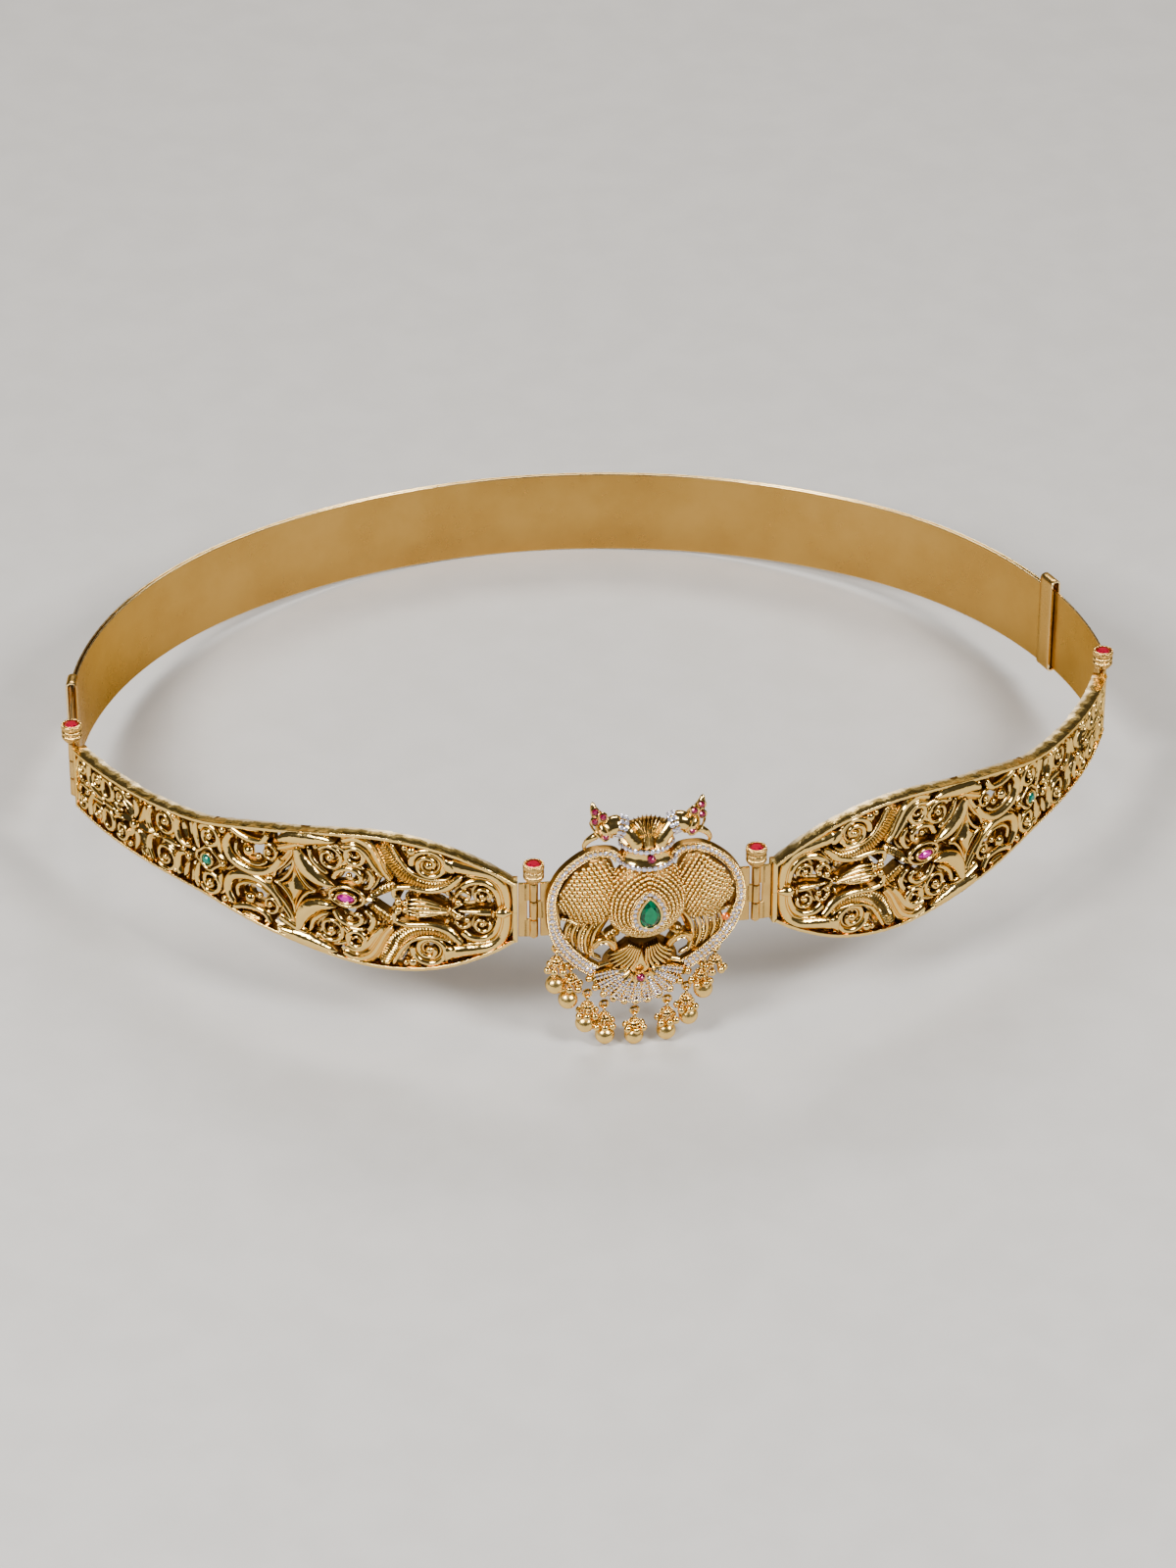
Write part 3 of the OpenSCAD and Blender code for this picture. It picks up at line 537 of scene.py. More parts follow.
    def joined(self, *others):
        whole = Relief()
        for part in (self,) + others:
            base = whole.count
            whole.points += part.points
            whole.tones += part.tones
            whole.faces += [[base + i for i in face] for face in part.faces]
            whole.count += part.count
        return whole

    def laid(self, surface, *hands):
        """Points in the standing belt's metres, faces and tones; one copy for each hand."""
        flat, tone = np.vstack(self.points), np.concatenate(self.tones)
        points, faces, tones = [], [], []
        for k, hand in enumerate(hands or (1,)):
            points.append(surface(flat, hand))
            faces += [[k * self.count + i for i in face] for face in self.faces]
            tones.append(tone)
        return np.vstack(points), faces, np.concatenate(tones)


# Pieces

def closed_mesh(name, points, faces, material, layer, values, domain="POINT"):
    """A mesh with its normals outward and one named value on each point or face."""
    mesh = bpy.data.meshes.new(name)
    mesh.from_pydata(np.asarray(points).tolist(), [], faces)
    mesh.attributes.new(layer, "FLOAT", domain).data.foreach_set("value", np.asarray(values, np.float32))
    shell = bmesh.new()
    shell.from_mesh(mesh)
    bmesh.ops.recalc_face_normals(shell, faces=shell.faces)
    shell.to_mesh(mesh)
    shell.free()
    mesh.materials.append(material)
    return mesh


def piece(name, points, faces, material, body, slot, tones, crease=38, instead=(), layer="tone"):
    """A finished metal mesh that rides on a body and stands for the nodes that it replaces."""
    mesh = closed_mesh(name, points, faces, material, layer, tones)
    mesh.shade_smooth()
    mesh.set_sharp_from_angle(angle=math.radians(crease))
    return placed(name, mesh, body, slot, instead)


def placed(name, mesh, body, slot, instead=()):
    """An object with its body and the nodes that it stands for; the slot is not used."""
    thing = bpy.data.objects.new(name, mesh)
    bpy.context.scene.collection.objects.link(thing)
    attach(thing, body)
    if instead:
        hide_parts(*instead)
    return thing


# Geometry node trees for what repeats

class Growth:
    """A geometry node tree with named inputs that ends in one finished mesh."""

    def __init__(self, name, **inputs):
        self.tree = bpy.data.node_groups.new(name, "GeometryNodeTree")
        face = self.tree.interface
        face.new_socket("Geometry", in_out="INPUT", socket_type="NodeSocketGeometry")
        self.sockets = {}
        for key, kind in inputs.items():
            self.sockets[key] = face.new_socket(key.replace("_", " "), in_out="INPUT",
                                                socket_type="NodeSocket" + kind).identifier
        face.new_socket("Geometry", in_out="OUTPUT", socket_type="NodeSocketGeometry")
        self.given = self.tree.nodes.new("NodeGroupInput")

    def input(self, name):
        return self.given.outputs[name]

    def node(self, kind, settings=None, **inputs):
        node = self.tree.nodes.new(kind)
        for key, value in (settings or {}).items():
            setattr(node, key, value)
        for key, value in inputs.items():
            socket = node.inputs[key.replace("_", " ")]
            if isinstance(value, bpy.types.NodeSocket):
                self.tree.links.new(value, socket)
            else:
                socket.default_value = value
        return node

    def close(self, instances, smooth):
        real = self.node("GeometryNodeRealizeInstances", Geometry=instances)
        shaded = self.node("GeometryNodeSetShadeSmooth", Geometry=real.outputs[0], Shade_Smooth=smooth)
        coated = self.node("GeometryNodeSetMaterial", Geometry=shaded.outputs[0], Material=self.input("Material"))
        out = self.tree.nodes.new("NodeGroupOutput")
        self.tree.links.new(coated.outputs[0], out.inputs[0])

    def placing(self, shape, points):
        """Stands a copy of shape on each point, turned along its out direction."""
        out = self.node("GeometryNodeInputNamedAttribute", {"data_type": "FLOAT_VECTOR"}, Name="out")
        turn = self.node("GeometryNodeInputNamedAttribute", {"data_type": "FLOAT_VECTOR"}, Name="along")
        size = self.node("GeometryNodeInputNamedAttribute", {"data_type": "FLOAT"}, Name="size")
        stood = self.node("FunctionNodeAlignRotationToVector", {"axis": "Z"}, Vector=out.outputs[0])
        turned = self.node("FunctionNodeAlignRotationToVector", {"axis": "X", "pivot_axis": "Z"},
                           Rotation=stood.outputs[0], Vector=turn.outputs[0])
        chance = self.node("FunctionNodeRandomValue", {"data_type": "FLOAT"}, Seed=self.input("Seed"))
        chance.inputs[2].default_value, chance.inputs[3].default_value = 0.96, 1.04
        scale = self.node("ShaderNodeMath", {"operation": "MULTIPLY"})
        self.tree.links.new(size.outputs[0], scale.inputs[0])
        self.tree.links.new(chance.outputs[1], scale.inputs[1])
        return self.node("GeometryNodeInstanceOnPoints", Points=points, Instance=shape, Rotation=turned.outputs[0],
                         Scale=scale.outputs[0]).outputs[0]

    def grown(self, seeds, **values):
        """The plain mesh that the tree grows from the seed points."""
        host = bpy.data.objects.new("seeds", seeds)
        bpy.context.scene.collection.objects.link(host)
        modifier = host.modifiers.new("grow", "NODES")
        modifier.node_group = self.tree
        for key, value in values.items():
            modifier[self.sockets[key]] = value
        graph = bpy.context.evaluated_depsgraph_get()
        mesh = bpy.data.meshes.new_from_object(host.evaluated_get(graph), preserve_all_data_layers=True,
                                               depsgraph=graph)
        host.modifiers.remove(modifier)
        bpy.data.objects.remove(host)
        return mesh


def granule_tree():
    """Round or oval grains standing on points."""
    g = Growth("granules", Around="Int", Rows="Int", Long="Float", Wide="Float", High="Float", Seed="Int",
               Material="Material")
    grain = g.node("GeometryNodeMeshUVSphere", Segments=g.input("Around"), Rings=g.input("Rows"), Radius=1.0)
    sides = g.node("ShaderNodeCombineXYZ", X=g.input("Long"), Y=g.input("Wide"), Z=g.input("High"))
    shaped = g.node("GeometryNodeTransform", Geometry=grain.outputs[0], Scale=sides.outputs[0])
    g.close(g.placing(shaped.outputs[0], g.given.outputs["Geometry"]), True)
    return g


def setting_tree():
    """Cut stones standing on points; the stone is one handed-in mesh of unit width."""
    g = Growth("set_stones", Stone="Object", Width="Float", Seed="Int", Material="Material")
    stone = g.node("GeometryNodeObjectInfo", Object=g.input("Stone"))
    sides = g.node("ShaderNodeCombineXYZ", **{axis: g.input("Width") for axis in "XYZ"})
    shaped = g.node("GeometryNodeTransform", Geometry=stone.outputs["Geometry"], Scale=sides.outputs[0])
    g.close(g.placing(shaped.outputs[0], g.given.outputs["Geometry"]), False)
    return g


GRANULES = granule_tree()
SETTING = setting_tree()


class Spots:
    """Places for grains or stones: relief points, each with its size and its out and along directions."""

    def __init__(self, surface):
        self.surface, self.rows = surface, []

    def put(self, point, size, out=(0, 0, 1), along=(1, 0, 0)):
        self.rows.append((point, out, along, size))

    def seeds(self, hands):
        """Seed points in the standing belt's metres, one copy for each hand."""
        points, outs, alongs, sizes = [], [], [], []
        for hand in hands:
            for *directed, size in self.rows:
                p, out, along = (np.asarray(v, float) for v in directed)
                here, outward, onward = self.surface(np.stack([p, p + 0.05 * out, p + 0.05 * along]), hand)
                points.append(here)
                outs.append((outward - here) * 20000)
                alongs.append((onward - here) * 20000)
                sizes.append(size / 1000)
        mesh = bpy.data.meshes.new("seeds")
        mesh.from_pydata(np.asarray(points).tolist(), [], [])
        for name, kind, key, values in (("out", "FLOAT_VECTOR", "vector", outs),
                                        ("along", "FLOAT_VECTOR", "vector", alongs),
                                        ("size", "FLOAT", "value", sizes)):
            mesh.attributes.new(name, kind, "POINT").data.foreach_set(key, np.asarray(values, np.float32).ravel())
        return mesh


def grains(name, spots, body, hands=(1,), shape=(1.0, 1.0, 1.0), around=8, rows=6, seed=1):
    """Gold grains on the spots; shape is long, wide and high for a spot of size one."""
    long, wide, high = shape
    mesh = GRANULES.grown(spots.seeds(hands), Around=around, Rows=rows, Long=long, Wide=wide, High=high, Seed=seed,
                          Material=CAST)
    # Grains take a near-crest tone, so they are painted bright as highlight.
    layer = mesh.attributes.get("tone") or mesh.attributes.new("tone", "FLOAT", "POINT")
    layer.data.foreach_set("value", np.full(len(mesh.vertices), 0.9, np.float32))
    return placed(name, mesh, body, "ornament_gold")


def cut_stone(sides, wide=1.0, tall=1.0, crown=0.16, deep=0.32, table=0.58, outline=None, seed=3):
    """A cut stone facing +z: table, star and kite facets, girdle and pointed back, and a tone of painted reflection
    for each facet.
    """
    chance = np.random.default_rng(seed)
    a = np.pi / 2 + 2 * np.pi * np.arange(2 * sides) / (2 * sides)
    ring = np.stack([np.cos(a) * wide / 2, np.sin(a) * tall / 2], 1)
    if outline is not None:
        ring = np.array([outline(v) for v in a])
    top = ring[::2] * table
    mid = (ring[1::2] * 0.5 + (ring[::2] + np.roll(ring[::2], -1, 0)) / 2 * 0.5) * (table + 1) / 2
    n, m = sides, 2 * sides
    points = np.vstack([np.column_stack([top, np.full(n, crown)]), np.column_stack([mid, np.full(n, crown * 0.62)]),
                        np.column_stack([ring, np.zeros(m)]),
                        np.column_stack([ring, np.full(m, -0.03 * min(wide, tall))]), [[0, 0, -deep]]])
    faces = [list(range(n))]
    for i in range(n):
        j = (i + 1) % n
        faces.append([i, n + i, j])
        faces.append([n + (i - 1) % n, 2 * n + 2 * i, n + i, i])
        faces.append([n + i, 2 * n + 2 * i, 2 * n + 2 * i + 1])
        faces.append([n + i, 2 * n + 2 * i + 1, 2 * n + 2 * j])
    for k in range(m):
        j = (k + 1) % m
        faces.append([2 * n + k, 4 * n + k, 4 * n + j, 2 * n + j])
        faces.append([4 * n + k, 6 * n, 4 * n + j])
    # Painted reflection: the table fairly bright, every other facet at random.
    tones = np.concatenate([[0.75], chance.uniform(0, 1, len(faces) - 1)])
    return points, faces, tones


def stone_mesh(name, points, faces, depths, material):
    mesh = closed_mesh(name, points, faces, material, "facet", depths, "FACE")
    mesh.shade_flat()
    return mesh


def lone_stone(name, cut, shift, surface, material, body, slot, node):
    """One cut stone, moved in relief space and laid on a surface."""
    points, faces, depths = cut
    placed(name, stone_mesh(name, surface(points + shift), faces, depths, material), body, slot, (node,))


BRILLIANT = bpy.data.objects.new("brilliant", stone_mesh("brilliant", *cut_stone(6), WHITE))
HIGH_CUT = bpy.data.objects.new("high_cut", stone_mesh("high_cut",
                                                       *cut_stone(8, crown=0.3, deep=0.3, table=0.45, seed=9), RUBY))


def set_stones(name, spots, width, body, hands=(1,), instead=(), seed=1, stone=BRILLIANT, material=WHITE,
               slot="white_stone"):
    """Cut stones of one width on the spots."""
    mesh = SETTING.grown(spots.seeds(hands), Stone=stone, Width=width, Seed=seed, Material=material)
    return placed(name, mesh, body, slot, instead)


# Openwork panels

OUTLINE = [(4.2, 8.9), (11.5, 13), (20.8, 17.1), (30.4, 19.4), (41.2, 20.1), (52, 19.1), (62.9, 17.3),
           (74.7, 15.2), (85, 12.9), (93.8, 11.2), (105, 10.3), (120, 9.7), (134, 9.3), (148.5, 8.8)]


PANEL_RUN = (5.0, 147.7)
PINK_AT, STAR_AT, GREEN_AT = 49.2, 63.8, 91


def upper_edge(s):
    return np.interp(s, *np.array(OUTLINE).T)


def within_outline(points, margin):
    """The up values of relief points, held a margin inside the panel's outline."""
    edge = upper_edge(points[..., 0]) - margin
    return np.clip(points[..., 1], -edge, edge)


def panel_upper_half():
    """Scrolls, crescents and leaves above the middle line of a panel."""
    r = Relief()
    dent = lambda s, z: 0.07 * math.sin(1.9 * s) * math.sin(0.37 * s + 1) + 0.05 * math.sin(4.3 * s)
    # Rim rail with its tall outer wall, and the end bars behind the hinge leaves.
    along, up = np.array(OUTLINE).T
    rail = np.column_stack([np.clip(along, *PANEL_RUN), up - 0.45])
    section = mirrored(*((-1, h / 7) for h in range(7)), *FLAT[1:5])
    r.band(rail, 0.9, 2.1, shape=section, step=0.7, start="cut", end="cut", lift=dent)
    p = r.points[-1]
    s, out = p[:, 0], p[:, 2]
    low = np.interp(s, *rail.T)
    lumps = (0.16 * np.sin(0.83 * s + 1.3 * out) * np.sin(0.37 * s - 0.9 * out + 2)
             + 0.06 * np.sin(2.3 * s + 1.9 * out) * np.sin(1.1 * s - 2.1 * out))
    steps = sum(np.clip((s - a) / 1.4, 0, 1) * np.clip((b - s) / 1.4, 0, 1)
                for a, b in ((22, 29), (50, 68), (88, 98), (112, 121), (131, 138)))
    wall = np.where(p[:, 1] > low, 1.0, 0.0) * np.clip((1.9 - out) / 0.8, 0, 1)
    p[:, 1] += wall * (0.7 * lumps - 0.15 - 0.16 * steps)
    # Painted highlight and shade on the rail, following its lumps; the wall takes the filed tone.
    r.tones[-1] = np.maximum(r.tones[-1], 0.6 + 0.7 * lumps + 1.2 * wall)
    for s, top in ((4.8, 9.0), (147.9, 8.9)):
        r.band([(s, top), (s, -0.1)], 1.2, 1.9, shape=FLAT, start="cut", end="cut")
    r.fat, r.bed = 1.38, 1.3
    # Horseshoes round the finial next to the hinge.
    r.band([(22.4, 13.9), (19.6, 12.9), (15.6, 12.1), (11.6, 11.2), (8.7, 9.0), (7.2, 5.2), (6.8, -0.1)],
           (3.4, 3.0, 2.6, 2.0, 1.7), (2.3, 1.8), end="cut")
    r.petal([(20.4, 11.6), (21.8, 13.2), (22.9, 15.6)], 3.4, 2.5, ROUND)
    r.band([(18.8, 6.5), (16.6, 8.3), (13.2, 8.6), (10.6, 7.0), (9.2, 4.0), (8.8, -0.1)], (1.8, 1.5, 1.1), (1.9, 1.4),
           end="cut")
    r.band([(17.6, 10.6), (14.4, 10.1), (11.0, 9.2), (8.9, 6.6), (8.0, 2.4), (7.9, -0.1)], 0.6, 1.3, end="cut")
    r.scroll(13.4, 4.3, 2.3, 0.6, 205, -420, 0.9, 1.5)
    r.band([(20.4, 3.6), (18.9, 5.4), (17.0, 4.9), (16.6, 3.0)], 0.8, 1.4)
    r.ball((17.3, 3.0), 0.62, 1.0)
    r.ball((19.6, 2.2), 0.7, 1.0)
    # Smooth frame of the bud, hooked round its bead clasp.
    r.band([(34.6, 2.3), (36.2, 2.6), (36.0, 4.9), (32.6, 5.7), (27.0, 5.3), (22.6, 6.6), (20.2, 8.8), (18.4, 10.4)],
           (0.9, 1.2, 1.3, 1.4, 2.0, 2.2, 1.2), 2.2)
    # Great scroll and the ribbed crescents that cup it.
    r.scroll(27.1, 12.9, 4.7, 0.9, 350, 600, 1.5, 2.0, tall=0.94)
    r.band(coil(27.1, 12.9, 3.1, 1.6, 80, 330, 0.94), 0.6, 1.2)
    r.band([(39.6, 18.7), (37.8, 14.6), (35.6, 10.9), (32.0, 8.1), (27.6, 7.0), (23.4, 7.6), (20.4, 9.6)],
           (2.6, 3.7, 3.8, 3.3, 2.6, 1.8, 0.6), 2.4, ribs=(0.82, 0.62, 0.5), end="point")
    r.band([(36.9, 18.4), (35.0, 14.6), (32.8, 11.4), (29.8, 9.5), (26.0, 8.8), (22.8, 9.2), (20.9, 10.5)],
           (0.7, 0.9, 0.9, 0.8, 0.7, 0.6, 0.3), 2.0, end="point")
    r.band([(35.9, 5.9), (39.2, 3.9), (42.6, 1.3)], (2.3, 1.9, 1.2), 2.2, ribs=(0.95, 0.6, 0.3))
    r.ball((31.6, 16.9), 1.0, 1.3)
    r.ball((33.4, 17.5), 0.7, 1.1)
    r.petal([(29.6, 18.3), (32.0, 18.2), (34.6, 17.6)], 1.2, 1.2)
    r.petal([(23.6, 16.8), (26.4, 18.2), (29.0, 18.3)], 1.2, 1.0)
    # Long S leaves, then the loops over the pink stone.
    r.band([(50.6, 17.0), (46.6, 18.3), (42.8, 16.6), (40.5, 12.9), (38.9, 9.6), (36.9, 6.9)], (2.2, 2.9, 2.4, 1.5),
           (2.3, 1.9), shape=TRIPLE)
    r.band([(50.4, 15.2), (46.8, 15.9), (43.9, 13.9), (41.9, 10.9), (39.3, 7.6)], (1.2, 1.7, 1.2), 1.8)
    r.band(oval(46.9, 12.7, 2.5, 2.4, 12), 1.1, 1.9, closed=True)
    r.band([(46.9 + 1.2 * math.cos(v), 13.3 + 1.1 * math.sin(v)) for v in np.linspace(2.6, 6.6, 9)], 0.6, 1.3)
    r.scroll(53.9, 10.9, 3.6, 0.8, 30, 520, 1.1, 1.9)
    r.band([(50.8, 9.5), (49.2, 11.0), (49.0, 13.4), (50.8, 14.6), (53.6, 15.2)], 1.0, 1.7)
    r.band([(43.6, 9.6), (42.2, 7.2), (42.8, 4.4), (44.6, 3.3)], (1.0, 1.4, 0.9), 1.8)
    r.band([(53.2, 4.6), (51.2, 7.6), (47.9, 8.5), (45.4, 7.0), (45.9, 5.0), (47.7, 5.4)], (1.3, 1.3, 0.9), 1.8)
    r.band([(44.4, 9.2), (46.6, 9.7), (49.4, 9.6)], 0.8, 1.5)
    r.ball((48.6, 6.4), 0.65, 1.0)
    r.ball((51.4, 12.4), 0.55, 1.1)
    r.petal([(42.0, 8.6), (43.4, 10.4), (44.4, 11.4)], 1.1, 1.2)
    # Bold smooth leaves between the star and the rim.
    r.band([(62.9, 12.6), (61.7, 7.9), (58.4, 4.7), (54.9, 3.4), (51.9, 3.2)], (1.2, 3.4, 3.8, 2.8, 1.0), 3.1,
           end="point")
    r.band([(59.9, 12.9), (59.0, 9.7), (56.9, 7.4), (54.4, 5.9)], (0.8, 1.4, 0.9), 1.8)
    r.band([(68.2, 13.6), (64.6, 15.0), (60.1, 15.7), (55.6, 16.4), (51.6, 16.8)], (1.0, 3.6, 3.6, 2.6, 0.8), 3.1,
           end="point")
    r.band([(68.9, 10.3), (66.0, 11.7), (62.6, 13.2), (60.2, 13.6)], 2.0, 2.3, shape=TRIPLE)
    r.band([(70.9, 1.0), (69.9, 3.6), (67.4, 6.4), (65.2, 9.6), (64.6, 11.6)], (1.4, 1.9, 1.3), 1.9, shape=TWIN)
    r.petal([(56.0, 2.1), (53.8, 1.8), (51.8, 1.4)], 1.3, 1.6, ROUND)
    r.ball((57.7, 13.6), 0.7, 1.1)
    r.petal([(58.8, 16.9), (60.6, 17.0), (63.4, 16.5)], 0.9, 1.0)
    # Broad loop with a worm-like curl and two round studs.
    r.band([(82.6, 11.0), (85.0, 7.2), (83.7, 3.2), (79.6, 1.2), (74.8, 1.1), (70.6, 3.4), (67.6, 7.6)],
           (1.3, 2.3, 2.4, 2.0, 1.3), 2.3)
    r.band([(81.6, 8.6), (81.8, 5.6), (78.9, 3.4), (75.0, 3.2), (72.2, 4.9)], 0.8, 1.6)
    r.band([(83.4, 12.3), (80.4, 11.0), (76.8, 10.4), (73.4, 11.0), (71.4, 13.9)], (1.6, 1.5, 1.3), 2.1)
    r.scroll(71.6, 8.0, 2.5, 0.7, 60, 400, 0.9, 1.7)
    r.ball((77.4, 7.3), 1.15, 1.5)
    r.ball((74.7, 6.0), 0.7, 1.2)
    r.petal([(80.6, 13.0), (77.6, 13.5), (74.4, 13.6)], 1.4, 1.5, ROUND)
    r.ball((85.9, 10.6), 0.85, 1.2)
    r.petal([(79.6, 6.0), (79.0, 7.8), (77.2, 9.3)], 0.9, 1.3)
    # Scroll pairs that run on to the back hinge.
    r.scroll(90.6, 7.0, 3.4, 0.8, 20, 520, 1.3, 2.0)
    r.petal([(86.6, 3.1), (87.4, 5.4), (87.2, 8.4)], 1.3, 1.7, ROUND)
    r.petal([(94.6, 10.2), (95.6, 7.4), (94.8, 4.2), (94.0, 2.0)], 1.6, 1.9, ROUND)
    r.band([(101.2, 9.0), (102.4, 5.6), (101.2, 2.4), (98.4, 0.9)], (1.6, 1.9, 1.0), 2.0)
    r.petal([(99.6, 8.8), (99.2, 6.0), (97.6, 3.6)], 1.5, 1.8)
    r.petal([(97.2, 9.6), (96.9, 7.4), (96.6, 5.2)], 1.1, 1.5)
    r.ball((97.9, 1.9), 0.75, 1.3)
    r.scroll(106.6, 5.4, 3.9, 0.8, 40, 560, 1.0, 1.9)
    r.band([(111.2, 8.4), (112.8, 4.6), (111.9, 1.4), (109.4, 0.2)], (1.2, 1.6, 1.1), 2.0, shape=TWIN)
    r.petal([(102.9, 2.9), (104.4, 1.6), (106.9, 0.9)], 1.1, 1.6)
    r.ball((103.2, 8.3), 0.6, 1.1)
    r.petal([(119.0, 1.2), (120.4, 3.6), (122.9, 5.8)], 2.0, 2.2)
    r.petal([(118.2, 1.6), (117.8, 4.8), (118.4, 8.2)], 1.5, 2.0)
    r.petal([(116.6, 1.2), (115.0, 3.9), (113.6, 7.4)], 1.9, 2.1)
    r.band([(113.4, 8.6), (115.9, 8.9), (116.4, 6.9)], 0.7, 1.3)
    r.ball((120.8, 7.6), 0.8, 1.2)
    r.ball((123.6, 8.4), 0.6, 1.0)
    r.scroll(124.5, 5.2, 2.7, 0.6, 30, 470, 1.0, 2.0)
    r.petal([(124.0, 1.2), (126.2, 1.5), (128.0, 2.9)], 1.2, 1.7, ROUND)
    r.band(oval(130.6, 4.6, 2.4, 2.9, 12), 1.1, 2.0, closed=True)
    r.scroll(135.9, 5.0, 2.7, 0.65, 120, 500, 1.0, 1.9)
    r.band([(140.2, 8.2), (140.6, 4.6), (138.9, 1.6), (135.4, 0.9), (132.6, 0.7)], (1.4, 1.6, 0.8), 1.9)
    r.scroll(143.9, 5.2, 2.6, 0.6, 300, 480, 1.0, 2.0)
    r.ball((141.4, 1.4), 0.7, 1.2)
    r.band([(146.9, 3.8), (145.9, 1.2), (144.0, 0.4)], 0.9, 1.5)
    # Low stems behind the scrolls that tie them to the rail and to each other.
    for s, z, t, y in ((25.0, 16.8, 22.0, 17.2), (31.6, 14.6, 32.4, 18.6), (47.0, 18.6, 47.2, 16.4),
                       (60.4, 15.6, 58.6, 17.4), (73.4, 12.6, 72.4, 15.2), (89.2, 10.0, 89.4, 12.2),
                       (99.4, 8.6, 99.8, 10.4), (106.6, 8.9, 107.4, 10.0), (124.4, 7.0, 124.6, 9.4),
                       (130.6, 7.2, 130.8, 9.1), (136.4, 7.4, 136.8, 8.9), (44.0, 7.4, 40.2, 7.4),
                       (40.4, 9.4, 43.2, 8.2), (55.8, 7.6, 58.0, 8.4), (50.6, 11.6, 49.0, 12.6),
                       (68.0, 8.6, 70.6, 9.6), (85.0, 7.0, 88.0, 7.4), (93.6, 6.4, 95.4, 6.6),
                       (14.0, 8.2, 13.0, 11.4), (10.6, 3.2, 8.8, 3.0), (20.8, 1.0, 20.2, 3.4), (22.0, 3.2, 22.8, 6.2),
                       (30.0, 2.2, 30.2, 5.4), (74.6, 3.8, 75.8, 0.8), (116.0, 5.4, 113.0, 5.2),
                       (120.0, 4.4, 122.6, 3.0)):
        r.band([(s, z), ((s + t) / 2 + 0.3, (z + y) / 2), (t, y)], 1.1, 0.5)
    return r


